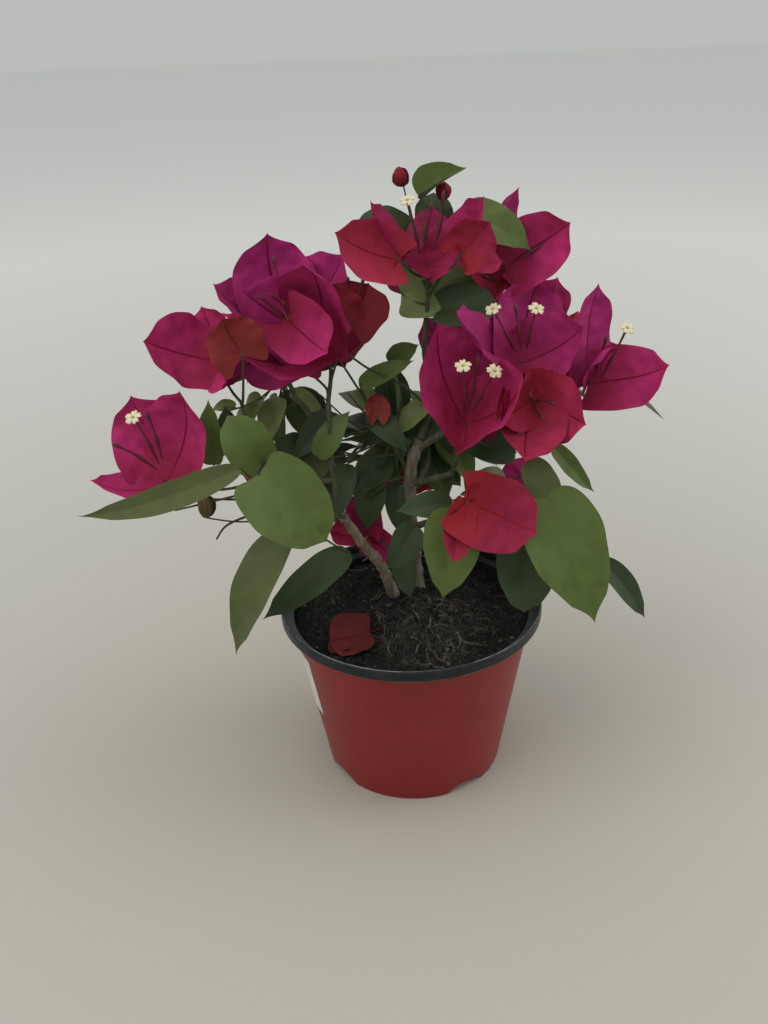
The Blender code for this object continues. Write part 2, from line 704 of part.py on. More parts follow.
def fused(name, pieces, materials):
    """One solid from a mass's stem and everything that grows on it."""
    whole = mesh_object(name, *pieces[0][:2], materials, pieces[0][2])
    helpers = bpy.data.collections.new(name + "_pieces")
    bpy.context.scene.collection.children.link(helpers)
    for number, (points, faces, index) in enumerate(pieces[1:]):
        helper = mesh_object(f"{name}_piece_{number}", points, faces, materials, index)
        bpy.context.scene.collection.objects.unlink(helper)
        helpers.objects.link(helper)
    union = whole.modifiers.new("union", "BOOLEAN")
    union.operation = "UNION"
    union.operand_type = "COLLECTION"
    union.collection = helpers
    union.solver = "MANIFOLD"
    bpy.context.view_layer.update()
    result = bpy.data.meshes.new_from_object(whole.evaluated_get(bpy.context.evaluated_depsgraph_get()))
    whole.modifiers.clear()
    whole.data = result
    for helper in list(helpers.objects):
        bpy.data.objects.remove(helper)
    bpy.data.collections.remove(helpers)
    drop_scraps(result)
    return whole


def drop_scraps(mesh):
    """Keeps the largest closed piece and removes loose scraps and sealed hollows."""
    bm = bmesh.new()
    bm.from_mesh(mesh)
    bm.verts.ensure_lookup_table()
    seen, islands = set(), []
    for start in bm.verts:
        if start.index in seen:
            continue
        island, queue = [], [start]
        seen.add(start.index)
        while queue:
            vert = queue.pop()
            island.append(vert)
            for edge in vert.link_edges:
                other = edge.other_vert(vert)
                if other.index not in seen:
                    seen.add(other.index)
                    queue.append(other)
        islands.append(island)
    keep = max(islands, key=len)
    scraps = [vert for island in islands if island is not keep for vert in island]
    if scraps:
        print(f"{mesh.name}: {len(islands) - 1} scraps with {len(scraps)} points dropped")
    bmesh.ops.delete(bm, geom=scraps, context="VERTS")
    bmesh.ops.triangulate(bm, faces=bm.faces)
    bm.to_mesh(mesh)
    bm.free()


def make_fallen_bract(plant, material):
    """A round spent bract lying on the peat, just clear of it."""
    base, tip, width = np.array([-38, -12, 0.0]), np.array([-38, -50, 0.0]), 29
    base[2], tip[2] = soil_height(*base[:2]), soil_height(*tip[:2])
    shape = Profile(rise=0.5, fall=0.6, arch=0.06, fold=-0.12)
    points, faces = blade(base, tip, width, np.array((0, 0, 1)), shape)
    lift = max(soil_height(x, y) - z for x, y, z in points) + GAP
    points[:, 2] += lift
    plant.add("fallen_bract", points, faces)
    return mesh_object("fallen_bract", points, faces, [material])


def main():
    for obj in list(bpy.data.objects):
        bpy.data.objects.remove(obj)
    pot_plastic = principled("pot_plastic", (0.55, 0.05, 0.04), 0.45)
    peat = principled("peat", (0.035, 0.024, 0.018), 0.95)
    bark = principled("bark", (0.18, 0.13, 0.09), 0.85)
    leaf = principled("leaf", (0.12, 0.22, 0.05), 0.5)
    bract = principled("bract", (0.45, 0.03, 0.12), 0.6)
    spent = principled("spent_bract", (0.28, 0.03, 0.03), 0.7)

    make_pot(pot_plastic)
    mesh_object("soil", *soil_mesh(), [peat])
    plant = Plant()
    plant.add("soil", *soil_mesh())
    lip = turned([(0, POT_HEIGHT - LIP_DROP), (LIP_RADIUS + GAP, POT_HEIGHT - LIP_DROP),
                  (LIP_RADIUS + GAP, POT_HEIGHT + GAP), (0, POT_HEIGHT + GAP)], POT_SIDES)
    plant.add("pot", lip[0], [f for f in lip[1] if len(f) == 4])
    make_fallen_bract(plant, spent)

    limbs = grow_limbs(plant)
    for name, (points, faces) in limbs.items():
        shade_round(mesh_object(name, points, faces, [bark]))
    grown = {name: grow_mass(plant, name, mass, limbs) for name, mass in MASSES.items()}
    rng = np.random.default_rng(SEED)
    for name, (pieces, roots) in grown.items():
        grow_sprays(plant, name, MASSES[name], pieces, roots, rng)
        fused(name, pieces, [bark, leaf, bract])


main()
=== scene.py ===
"""A bougainvillea in bloom in its plastic pot: the looks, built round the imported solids.

Tables are in millimetres in the frame's own axes: +Z is up and -Y is towards the camera. Bearings
are degrees from +X towards +Y, and rises are degrees above level. Meshes are scaled to metres.
"""

import itertools
import math
from collections import namedtuple
from functools import cache, partial

import bpy
import numpy as np
from mathutils import Matrix, Vector, noise
from mathutils.bvhtree import BVHTree


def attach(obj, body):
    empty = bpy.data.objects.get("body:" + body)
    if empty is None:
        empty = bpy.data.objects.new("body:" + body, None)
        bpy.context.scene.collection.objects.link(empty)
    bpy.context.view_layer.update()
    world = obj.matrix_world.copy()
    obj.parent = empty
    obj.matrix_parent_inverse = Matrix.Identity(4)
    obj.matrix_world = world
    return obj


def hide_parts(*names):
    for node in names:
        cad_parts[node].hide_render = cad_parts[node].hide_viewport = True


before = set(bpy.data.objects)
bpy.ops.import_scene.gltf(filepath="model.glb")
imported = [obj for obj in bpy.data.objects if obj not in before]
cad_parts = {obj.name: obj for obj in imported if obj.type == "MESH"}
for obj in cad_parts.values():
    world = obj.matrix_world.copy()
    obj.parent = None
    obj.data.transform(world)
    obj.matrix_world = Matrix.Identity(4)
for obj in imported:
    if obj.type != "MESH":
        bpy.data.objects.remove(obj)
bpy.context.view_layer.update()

MM = 0.001
SEED = 11

# Pot
POT_HEIGHT = 108
LIP_RADIUS = 78.4
LIP_DROP = 7
LIP_STEP = 6.2
UNDER_LIP = POT_HEIGHT - LIP_DROP
FOOT_RADIUS = 53.8
WALL = 1.3
NOTCHES = 4
NOTCH_BEARING = -57
NOTCH_HALF_ANGLE = 13
NOTCH_HEIGHT = 6
POT_SIDES = 160
LABEL_BOTTOM, LABEL_TOP = 46, 86
LABEL_FROM, LABEL_TO = 150, 208

# Soil
SOIL_EDGE = 96
SOIL_BOTTOM = 9
SOIL_RINGS = 90
SOIL_SIDES = 220
MOUND_TOP = 106
MOUND_CENTRE = (-7, 13)
MOUND_RADIUS = 17
HEAP = np.array([10, -22])  # where the pale fibres of the root ball show
HEAP_SIZE = (26, 30)
HEAP_SHARE = 0.36  # of the bundles
HEAP_TONES = (0.26, 0.34, 0.28, 0.12)  # how much of each fibre colour, dark to pale
# Away from the heap the fibres are mostly the darkest tone: dark peat, and painted shade over the soil there
PEAT_TONES = (0.80, 0.155, 0.04, 0.005)
PEAT_REACH = 0.97
FIBRES = 3400
FIBRES_PER_BUNDLE = 7
FIBRE_STEPS = 8
FLAKES = 500
CRUMBS = 1700

# Limbs and foliage
FLARE = 1.35
FLARE_HEIGHT = 14
STEM_SIDES, BOUGH_SIDES = 28, 18
TWIG_RADIUS = 0.85
TWIG_TIP = 0.5
TWIG_BEND = 0.1
TWIG_SIDES = 7
LONG_STALK = 16
LIGHT = np.array([0, -0.91, 0.41])  # the way that blooms turn
LIGHT_TURN = 1.0
BACK_BLOOMS, BACK_FLOWERS = 40, 60  # further back than this they turn to the light behind
PINWHEEL = 0.3
BROAD = 0.65  # a leaf this much as wide as long is heart-shaped
FINE = (44, 10)
PLAIN = (14, 4)

# rise and fall shape the outline from base to tip, point and sharp draw the tip out, and lobe brings the
# base back round the stalk. The rest bend the blade: arch along it, fold across it, wave and crinkle in its
# surface.
Shape = namedtuple("Shape", "rise fall point sharp lobe arch fold wave crinkle relief veins thick")
LEAF_SHAPE = Shape(0.52, 0.98, 0.20, 0.70, 0.09, 0.09, 0.26, 0.055, 0.06, 0.14, 6, 0.45)
HEART_SHAPE = Shape(0.42, 0.60, 0.12, 0.65, 0.18, 0.10, 0.24, 0.03, 0.06, 0.12, 6, 0.45)
BRACT_SHAPE = Shape(0.40, 0.62, 0.16, 0.90, 0.28, -0.15, 0.40, 0.13, 0.28, 0.24, 7, 0.30)
SPENT_SHAPE = Shape(0.48, 0.42, 0.06, 0.1, 0.12, -0.06, 0.22, 0.06, 0.45, 0.4, 7, 0.6)
BUD_SHAPE = Shape(0.5, 0.6, 0.2, 0.5, 0, -0.25, 0.6, 0.03, 0.05, 0.1, 5, 0.3)

FACES = {
    "front": (0, -1, 0.35),
    "front_up": (0, -0.75, 0.65),
    "front_left": (-0.6, -0.75, 0.3),
    "up_left": (-0.6, -0.9, 1.2),
    "up": (0, 0, 1),
}


def unit(vector):
    return np.asarray(vector, float) / np.linalg.norm(vector)


def polar(reach, turn):
    return reach * math.cos(turn), reach * math.sin(turn)


def heading(bearing, rise):
    around, up = math.radians(bearing), math.radians(rise)
    return np.array([math.cos(up) * math.cos(around), math.cos(up) * math.sin(around), math.sin(up)])


def band(first, second, count):
    """Quads between two rings of count points."""
    return [(first + k, first + (k + 1) % count, second + (k + 1) % count, second + k) for k in range(count)]


def over(faces):
    """The faces turned over, from the same first corners."""
    return [(face[0], *face[:0:-1]) for face in faces]


def smooth_path(points, steps):
    """The points with a Catmull-Rom curve through them."""
    points = np.asarray(points, float)
    padded = np.vstack([2 * points[0] - points[1], points, 2 * points[-1] - points[-2]])
    curve = []
    for a, b, c, d in zip(padded, padded[1:], padded[2:], padded[3:]):
        for t in (step / steps for step in range(steps)):
            curve.append(0.5 * (2 * b + (c - a) * t + (2 * a - 5 * b + 4 * c - d) * t**2
                                + (3 * b - a - 3 * c + d) * t**3))
    return np.array(curve + [points[-1]])


# The plant, as the solids have it

Limb = namedtuple("Limb", "radii path")
LIMBS = {  # one that stands on the mound has no height at its foot
    "main_stem": Limb((4.9, 3.6), [(5, 17), (2, 9, 150), (2, 2, 191), (8, 4, 209)]),
    "left_cane": Limb((4.3, 3.2), [(-10, 10), (-17, 0, 131), (-26, -7, 147), (-39, -14, 174)]),
    "left_shoot": Limb((2.0, 1.6), [(-38, -13, 172), (-41, -15, 187), (-42, -15, 204), (-42, -13, 241)]),
    "upright": Limb((3.3, 1.9), [(8, 4, 209), (15, 13, 232), (12, 15, 256), (13, 15, 271)]),
    "right_bough": Limb((2.5, 1.7), [(5, 3, 203), (26, 0, 217), (52, 5, 228)]),
    "high_right_bough": Limb((2.2, 1.6), [(14, 14, 238), (26, 22, 255), (40, 29, 266)]),
    "centre_bough": Limb((2.4, 1.8), [(2, 3, 182), (14, -3, 187), (25, -5, 191)]),
    "low_right_bough": Limb((2.4, 1.8), [(2, 9, 150), (11, 2, 157), (19, -4, 163)]),
    "left_bough": Limb((1.9, 1.5), [(-42, -15, 194), (-60, -25, 199), (-77, -30, 207)]),
    "back_left_bough": Limb((1.9, 1.6), [(-42, -14, 212), (-55, 18, 222), (-64, 36, 226)]),
    "back_right_bough": Limb((2.6, 1.8), [(14, 11, 226), (36, 32, 228), (56, 42, 226)]),
    "back_centre_bough": Limb((2.6, 1.8), [(1, 4, 176), (10, 24, 180), (14, 38, 182)]),
    "back_low_left_bough": Limb((2.4, 1.8), [(-13, 5, 121), (-30, 25, 132), (-48, 34, 150)]),
    "back_low_right_bough": Limb((2.6, 1.8), [(3, 12, 134), (23, 26, 130), (42, 36, 128)]),
}

# Each bract: bearing, rise, length, width and, if it isn't LIGHT_TURN, how far it turns from the bloom's axis
# to the light. The tints go round the bracts. flowers say what stands on each bract in turn: o an open
# flower, b a closed one, - none. tubes are flowers with places of their own: from, to and o or b.
Bloom = namedtuple("Bloom", "base bracts tint flowers tubes", defaults=("----", []))
Leaf = namedtuple("Leaf", "base bearing rise length width face tint fold", defaults=("leaf", None))
Bud = namedtuple("Bud", "base bearing rise length width tint")
Mass = namedtuple("Mass", "group stem blooms leaves buds twigs sprays space",
                  defaults=([], [], [], [], 0, None))


def rosette(base, bearing, rise, size, roll, tint="magenta", flowers="ob-", opening=48):
    """A bloom whose three like bracts stand round one axis, each this many degrees off it."""
    axis = heading(bearing, rise)
    above = unit(np.cross(axis, (-axis[1], axis[0], 0.01)))
    across = np.cross(axis, above)
    along, off = polar(1, math.radians(opening))
    bracts = []
    for turn in (0, 120, 240):
        up, aside = polar(1, math.radians(roll + turn))
        x, y, z = along * axis + off * (up * above + aside * across)
        bearing_and_rise = math.degrees(math.atan2(y, x)), math.degrees(math.atan2(z, math.hypot(x, y)))
        bracts.append((*bearing_and_rise, size, 0.85 * size))
    return Bloom(base, bracts, tint, flowers)


MASSES = {
    "left_top": Mass("left", [(-42, -13, 241), (-40, -8, 254), (-41, -8, 266)], blooms=[
        Bloom((-44, -12, 271), [(-100, 60, 58, 40), (-170, 40, 52, 44), (-145, 10, 53, 36)], "magenta purple",
              tubes=[((-58, -22, 287), (-72, -34, 305), "b"), ((-56, -22, 288), (-67, -34, 306), "b"),
                     ((-55, -20, 288), (-61, -34, 302), "b")]),
        Bloom((-60, -27, 291), [(-24, -37, 28, 34, 4)], "magenta"),
        Bloom((-65, 20, 277), [(125, 75, 48, 46), (180, 30, 44, 40), (10, 45, 49, 40)], "purple", "b--"),
        Bloom((-57, 8, 266), [(180, -20, 40, 36), (-65, -25, 27, 9)], "purple"),
        Bloom((-30, 0, 277), [(58, 40, 30, 35, 4), (140, 72, 24, 22)], "wine",
              tubes=[((-30, 14, 280), (-29, 16, 301), "b"), ((-27, 14, 280), (-20, 16, 301), "b")]),
    ], twigs=[
        [(-14, 0, 222), (-21, 0, 233), (-35, -2, 259), (-47, -8, 277)],
        [(12, 9, 227), (0, 4, 241), (-19, 0, 253), (-32, -3, 264), (-43, -10, 272)],
        [(-42, -12, 244), (-44, -12, 249), (-58, -13, 264), (-64, -8, 270)],
        [(-42, -12, 245), (-37, -9, 260), (-33, -2, 270)],
    ]),
    "top": Mass("middle", [(13, 15, 271), (14, 15, 287), (14, 14, 302)], blooms=[
        Bloom((14, 13, 306), [(-155, 50, 50, 24), (-25, 50, 50, 26), (80, 40, 42, 26)], "magenta",
              tubes=[((10, 10, 313), (4, 6, 342), "o"), ((17, 10, 314), (23, 8, 346), "b"),
                     ((13, 12, 314), (17, 12, 340), "b")]),
        Bloom((-1, -3, 313), [(-168, 27, 38, 32, 5), (120, 25, 40, 17)], "crimson"),
        Bloom((31, -4, 315), [(-17, 49, 23, 26, 5), (25, -15, 27, 18), (70, 20, 33, 15)], "red crimson"),
    ], leaves=[
        Leaf((12, 30, 338), -5, 33, 30, 17, "up_left", "leaf", 1.0),
        Leaf((7, 45, 313), 180, 15, 34, 26, "front_up", "dark"),
        Leaf((19, 45, 317), 80, 75, 22, 22, "front", "dark"),
        Leaf((35, 29, 331), -20, -28, 43, 24, "front_up"),
        # This leaf takes the pale green: painted light on a leaf in the blooms' shade
        Leaf((0, 26, 288), 0, 9, 46, 36, "front", "pale"),
    ], buds=[Bud((3, 33, 345), 120, 60, 11, 9, "wine"), Bud((23, 26, 338), 60, 65, 10, 8, "wine")]),
    "high_right": Mass("middle", [(40, 29, 266), (52, 28, 283), (58, 25, 290)], blooms=[
        Bloom((57, 22, 301), [(-15, 36, 43, 38, 2), (60, 65, 45, 20), (20, -20, 25, 20)], "magenta purple",
              "bb-"),
        Bloom((54, 22, 292), [(-155, 45, 25, 20), (95, 55, 22, 18), (-125, -25, 17, 14)], "crimson", "b--"),
    ], leaves=[
        Leaf((19, 15, 281), -10, 5, 34, 26, "front_up", "dark"),
        Leaf((38, 25, 273), -165, -20, 22, 22, "front", "dark"),
    ]),
    "right": Mass("right", [(52, 5, 228), (75, 5, 241), (94, 5, 241)], blooms=[
        Bloom((64, -2, 254), [(-145, 40, 60, 32), (-20, 35, 40, 40), (65, 55, 49, 42)], "purple",
              tubes=[((60, -4, 261), (47, -10, 287), "o"), ((66, -4, 262), (70, -9, 286), "o"),
                     ((63, -4, 262), (59, -6, 288), "b")]),
        Bloom((101, 0, 240), [(65, 75, 55, 28), (-18, 18, 45, 38), (-70, 50, 36, 22)], "purple magenta",
              tubes=[((107, -3, 243), (119, -7, 273), "o"), ((104, -2, 243), (109, -5, 269), "b")]),
    ], leaves=[
        Leaf((104, 8, 236), -10, -25, 46, 13, "up", "olive"),
        Leaf((90, 15, 231), 180, 70, 18, 14, "front", "dark"),
    ]),
    "centre": Mass("right", [(25, -5, 191), (30, -14, 212), (34, -22, 225)], blooms=[
        Bloom((32, -25, 229), [(170, 75, 58, 46), (-45, 45, 51, 44), (65, 45, 57, 40)], "magenta",
              tubes=[((30, -28, 236), (29, -36, 265), "o"), ((34, -28, 236), (45, -37, 262), "o"),
                     ((32, -27, 237), (37, -34, 270), "b")]),
        Bloom((67, -25, 241), [(-35, -15, 32, 38), (-105, -40, 37, 38), (-130, -5, 31, 24), (25, 50, 19, 26)],
              "crimson",
              tubes=[((67, -26, 241), (63, -38, 249), "b"), ((68, -26, 241), (76, -38, 243), "b"),
                     ((67, -27, 240), (70, -40, 236), "b")]),
    ], leaves=[
        Leaf((59, -20, 209), 170, 5, 37, 20, "front_up", "dark"),
        Leaf((80, -15, 210), -25, -45, 35, 11, "front_up"),
    ]),
    "low_right": Mass("right", [(19, -4, 163), (39, -28, 180), (57, -36, 192)], blooms=[
        Bloom((29, -57, 198), [(-9, -25, 41, 42, 5), (-118, -58, 33, 17, 3), (60, 10, 26, 18)], "red"),
    ], leaves=[
        Leaf((24, -45, 188), -120, -70, 50, 31, "front"),
        Leaf((71, -41, 195), -38, -64, 79, 42, "front"),
        Leaf((64, -34, 210), -26, -58, 34, 18, "front", "olive"),
        Leaf((62, -30, 157), -90, -65, 38, 30, "front", "dark"),
        Leaf((106, -30, 146), 4, -55, 51, 14, "front_up", "dark"),
        Leaf((23, -40, 188), -170, 0, 32, 15, "front_up", "dark"),
        Leaf((3, -35, 174), -165, -55, 30, 18, "front", "dark"),
    ]),
    "left": Mass("left", [(-77, -30, 207), (-84, -26, 230), (-88, -22, 245)], blooms=[
        Bloom((-102, -2, 262), [(-150, 25, 43, 40), (-80, -10, 33, 22), (115, 55, 32, 26)], "magenta"),
        Bloom((-82, -42, 276), [(172, 66, 22, 30, 5)], "amber"),
    ], leaves=[
        Leaf((-77, -42, 218), 172, 58, 31, 26, "front"),
        Leaf((-105, -26, 211), 90, 84, 37, 15, "front"),
        Leaf((-95, -20, 223), 180, 85, 20, 12, "front", "dark"),
    ]),
    "low_left": Mass("left", [(-37, -15, 171), (-57, -37, 186), (-77, -48, 211)], blooms=[
        Bloom((-129, -40, 208), [(-15, 75, 54, 42), (-155, 15, 40, 18), (125, 50, 52, 40)], "magenta",
              tubes=[((-131, -42, 220), (-139, -50, 249), "o"), ((-129, -42, 222), (-132, -50, 252), "b"),
                     ((-132, -42, 216), (-151, -52, 236), "b")]),
    ], leaves=[
        Leaf((-86, -58, 222), -170, -11, 86, 15, "front", "olive"),
        Leaf((-77, -61, 220), -8, -49, 50, 41, "front", "bright"),
        Leaf((-62, -57, 185), -170, -63, 81, 26, "front_left", "olive"),
        Leaf((-34, -35, 159), -160, -30, 61, 20, "front_up", "dark"),
    ], buds=[Bud((-107, -54, 193), 100, 75, 13, 9, "dry")], twigs=[
        [(-70, -44, 206), (-92, -50, 203), (-124, -50, 196)],
        [(-64, -42, 198), (-88, -48, 200), (-107, -50, 202)],
        [(-61, -40, 194), (-84, -46, 190), (-98, -48, 185), (-104, -50, 178)],
    ]),
    "foot": Mass("middle", [(-24, -5, 143), (-23, 8, 144), (-22, 16, 146)], blooms=[
        Bloom((-25, 6, 148), [(100, 75, 28, 22), (175, 8, 23, 21), (-30, -30, 22, 20)],
              "magenta crimson", "bb-"),
    ], leaves=[Leaf((-5, -20, 152), -65, -70, 30, 14, "front", "dark")]),
    "inner": Mass("middle", [(2, 3, 188), (-6, 2, 204), (-14, 0, 222)], blooms=[
        Bloom((-16, -5, 226), [(100, 85, 15, 13), (-30, 75, 15, 13), (-150, 75, 15, 13)], "young"),
    ], leaves=[
        Leaf((-8, 20, 250), 0, 30, 20, 13, "front"),
        Leaf((-25, 5, 242), 0, 24, 34, 12, "front_up"),
        Leaf((-50, -16, 209), 25, 47, 32, 14, "front", "bright"),
        Leaf((-19, 8, 188), -120, -72, 36, 18, "front", "dark"),
        Leaf((-10, 14, 196), -150, -50, 38, 17, "front_up", "dark"),
        Leaf((-5, 10, 180), -100, -70, 30, 15, "front", "dark"),
        Leaf((-58, 2, 214), -165, -42, 42, 19, "front", "dark"),
        Leaf((-50, 8, 208), -140, -60, 36, 20, "front", "olive"),
        Leaf((-40, 6, 226), -150, -40, 36, 16, "front_up", "dark"),
        Leaf((-34, -2, 198), -110, -55, 34, 15, "front", "dark"),
        Leaf((-20, 2, 226), -35, -38, 30, 15, "front_up", "dark"),
    ], twigs=[
        [(1, 3, 187), (-14, 1, 184), (-24, -3, 182), (-38, -10, 184)],
    ], sprays=17, space=((-24, 14, 212), (52, 30, 36))),
    "back_top": Mass("back", [(12, 15, 262), (14, 34, 274), (16, 48, 280)], blooms=[
        rosette((14, 54, 286), 80, 45, 44, 20, "magenta purple", "ob-", 55),
        rosette((30, 42, 278), 30, 40, 36, 70, "crimson", "b-b", 38),
    ], sprays=9, space=((16, 52, 284), (34, 28, 30))),
    "back_left": Mass("back", [(-64, 36, 226), (-70, 48, 238), (-74, 56, 244)], blooms=[
        rosette((-78, 62, 248), 110, 40, 45, 0, "magenta crimson", "obb", 40),
        rosette((-92, 42, 244), 170, 35, 42, 50, "purple", "ob-", 58),
        rosette((-48, 62, 240), 70, 45, 40, 90, "crimson wine", "b-o"),
    ], sprays=11, space=((-72, 54, 226), (48, 38, 34))),
    "back_right": Mass("back", [(56, 42, 226), (66, 50, 236), (72, 56, 242)], blooms=[
        rosette((74, 62, 246), 70, 40, 46, 30, "magenta purple", "oo-", 58),
        rosette((94, 42, 234), 20, 30, 38, 80, "crimson", "bb-", 36),
        rosette((42, 66, 232), 110, 45, 42, 60, "purple magenta", "bob"),
    ], sprays=10, space=((70, 52, 222), (46, 38, 34))),
    "back_centre": Mass("back", [(14, 38, 182), (16, 52, 192), (16, 62, 202)], blooms=[
        rosette((34, 80, 196), 70, 30, 44, 60, "magenta crimson", "oob", 40),
        rosette((6, 84, 150), 95, 5, 38, 0, "red", "b-o", 58),
    ], sprays=12, space=((12, 64, 186), (50, 38, 36))),
    "back_low_left": Mass("back", [(-48, 34, 150), (-60, 44, 158), (-68, 50, 166)], blooms=[
        rosette((-69, 66, 154), 125, 5, 36, 40, "crimson"),
    ], sprays=14, space=((-62, 48, 164), (42, 36, 30))),
    "back_low_right": Mass("back", [(42, 36, 128), (56, 42, 138), (66, 46, 148)], blooms=[
        rosette((68, 60, 135), 70, 5, 37, 10),
    ], sprays=14, space=((64, 46, 146), (42, 34, 30))),
}


# Meshes


def new_object(name, data):
    obj = bpy.data.objects.new(name, data)
    bpy.context.scene.collection.objects.link(obj)
    return obj


class Pile:
    """Many small things that become one piece."""

    def __init__(self, *materials):
        self.materials = materials
        self.points, self.faces, self.slots, self.marks = [], [], [], []
        self.count = 0

    def add(self, points, faces, slots=0, marks=None):
        """slots is one material number or a list of them, marks a UV for each point."""
        self.points.append(np.asarray(points, float))
        if isinstance(faces, np.ndarray):
            self.faces.extend((faces + self.count).tolist())
        else:
            self.faces.extend([tuple(i + self.count for i in face) for face in faces])
        self.slots.append(np.full(len(faces), slots) if isinstance(slots, int) else slots)
        self.marks.append(np.zeros((len(points), 2)) if marks is None else marks)
        self.count += len(points)

    def piece(self, name, slot, nodes=(), sharp=60):
        points = np.vstack(self.points) * MM
        mesh = bpy.data.meshes.new(name)
        mesh.from_pydata(points.tolist(), [], self.faces)
        for material in self.materials:
            mesh.materials.append(material)
        mesh.polygons.foreach_set("material_index", np.concatenate(self.slots).astype(np.int32))
        corners = np.empty(len(mesh.loops), np.int32)
        mesh.loops.foreach_get("vertex_index", corners)
        marks = mesh.uv_layers.new(name="blade")
        marks.uv.foreach_set("vector", np.vstack(self.marks)[corners].ravel())
        mesh.shade_smooth()
        mesh.set_sharp_from_angle(angle=math.radians(sharp))
        mesh.update()
        obj = new_object(name, mesh)
        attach(obj, "root")
        if nodes:
            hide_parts(*nodes)


def tube(path, radii, sides, relief=None):
    """A round limb along a path with closed ends. relief gives each point's share of the radius."""
    path = np.asarray(path, float)
    ways = [unit(b - a) for a, b in zip(path, path[1:])]
    ways = [ways[0]] + [unit(a + b) for a, b in zip(ways, ways[1:])] + [ways[-1]]
    side = unit(np.cross(ways[0], (0.31, 0.95, 0.05)))
    points = []
    turns = 2 * math.pi * np.arange(sides) / sides
    for centre, way, radius in zip(path, ways, radii):
        side = unit(side - side.dot(way) * way)
        other = np.cross(way, side)
        for spot in np.cos(turns)[:, None] * side + np.sin(turns)[:, None] * other:
            points.append(centre + radius * (relief(centre, spot) if relief else 1) * spot)
    faces = [tuple(range(sides))[::-1], tuple(range(len(points) - sides, len(points)))]
    for ring in range(0, len(points) - sides, sides):
        faces += band(ring, ring + sides, sides)
    return np.array(points), faces


MIDRIB = 0.03
LOBE = 0.1  # how far along a blade its lobes reach back the most


@cache
def blade_grid(rows, columns):
    """The stations along and across a blade, its faces, their kinds (face, midrib or back) and its marks."""
    even = np.linspace(0, 1, rows + 1)
    along = 0.5 * even + 0.25 * (1 - np.cos(math.pi * even))
    across = np.concatenate([[MIDRIB], np.linspace(0, 1, columns + 1)[1:] ** 0.85])
    across = np.concatenate([-across[::-1], across])
    t, v = np.meshgrid(along, across, indexing="ij")
    width = len(across)
    count = t.size
    faces, kinds = [], []
    for i in range(rows):
        start = i * width
        for a in range(start, start + width - 1):
            faces.append((a, a + width, a + width + 1, a + 1))
            faces.append((count + a, count + a + 1, count + a + width + 1, count + a + width))
            kinds += [1, 1] if a - start == width // 2 - 1 else [0, 2]
        for a in (start, start + width - 1):
            quad = (a, a + width, count + a + width, count + a)
            faces.append(quad[::-1] if a == start else quad)
            kinds.append(2)
    for start in (0, rows * width):
        for a in range(start, start + width - 1):
            quad = (a, a + 1, count + a + 1, count + a)
            faces.append(quad if start == 0 else quad[::-1])
            kinds.append(2)
    marks = np.column_stack([np.tile(t.ravel(), 2), np.tile(0.5 + v.ravel() / 2, 2)])
    return t, v, np.array(faces), np.array(kinds), marks


def blade(base, tip, width, face, shape, rng, detail=FINE):
    """A thin closed leaf or bract: its points, faces, kinds of face and marks."""
    base, tip = np.asarray(base, float), np.asarray(tip, float)
    length = np.linalg.norm(tip - base)
    along = (tip - base) / length
    up = unit(np.asarray(face) - np.dot(face, along) * along)
    side = np.cross(along, up)
    t, v, faces, kinds, marks = blade_grid(*detail)
    spread = np.abs(v)
    phases = rng.uniform(0, 2 * math.pi, 12)
    sway = rng.uniform(-1, 1, 5)

    def wavy(turns, first):
        return np.sin(2 * math.pi * turns * t + np.where(v < 0, phases[first], phases[first + 1]))

    # Half its width along it, and how far its lobes reach back
    widest = shape.rise / (shape.rise + shape.fall)
    outline = t**shape.rise * (1 - t) ** shape.fall / (widest**shape.rise * (1 - widest) ** shape.fall)
    outline = outline * np.minimum(1, np.maximum(1 - t, 1e-9) / shape.point) ** shape.sharp
    half = width / 2 * outline * (1 + 0.05 * wavy(0.9, 0) + 0.012 * wavy(3.3, 2))
    back = shape.lobe * width * spread**1.6 * t / LOBE * np.exp(1 - t / LOBE)
    # How far its surface stands off level, along the arch and across the fold
    ripple = wavy(1.3 + 0.4 * sway[0], 4) + 0.25 * wavy(3.4 + 0.6 * sway[1], 6)
    crinkle = sum(np.sin(turn * t * length / 2.2 + across * v * half / 2.2 + phases[8 + k])
                  for k, (turn, across) in enumerate(((1.0, 0.7), (-0.8, 1.1), (1.7, -0.4))))
    phase = t - 0.24 * spread - 0.06 * spread**2
    pillow = np.abs(np.sin(math.pi * shape.veins * phase)) ** 0.7 - 1
    inside = np.minimum(1, 8 * t * (1 - t)) * (1 - spread**3)
    bow = shape.arch * (1 + 0.4 * sway[2])
    offset = (4 * t * (1 - t) * bow * length + shape.fold * (1 + 0.3 * sway[3]) * half * spread**1.3
              + shape.wave * half * ripple * spread**2.2 + shape.crinkle * crinkle * inside * spread**0.5
              + shape.relief * pillow * inside * np.minimum(1, 7 * spread)
              - shape.relief * np.exp(-((spread / 0.07) ** 2)) * inside)
    # Its middle surface, and its thickness with the rib underneath
    twist = 0.35 * sway[4] * (t - 0.4)
    bend = 0.035 * sway[0] * length * 4 * t * (1 - t)
    across = np.cos(twist)[..., None] * side + np.sin(twist)[..., None] * up
    normal = np.cos(twist)[..., None] * up - np.sin(twist)[..., None] * side
    middle = (base + (t * length - back)[..., None] * along + bend[..., None] * side
              + (half * v)[..., None] * across + offset[..., None] * normal)
    thick = shape.thick / 2 * (1 - spread**3) * np.minimum(1, 12 * t * (1 - t)) + 0.02
    rib = shape.thick * 0.9 * np.exp(-((spread / 0.06) ** 2)) * inside
    points = np.vstack([(middle + thick[..., None] * normal).reshape(-1, 3),
                        (middle - (thick + rib)[..., None] * normal).reshape(-1, 3)])
    return points, faces, kinds, marks


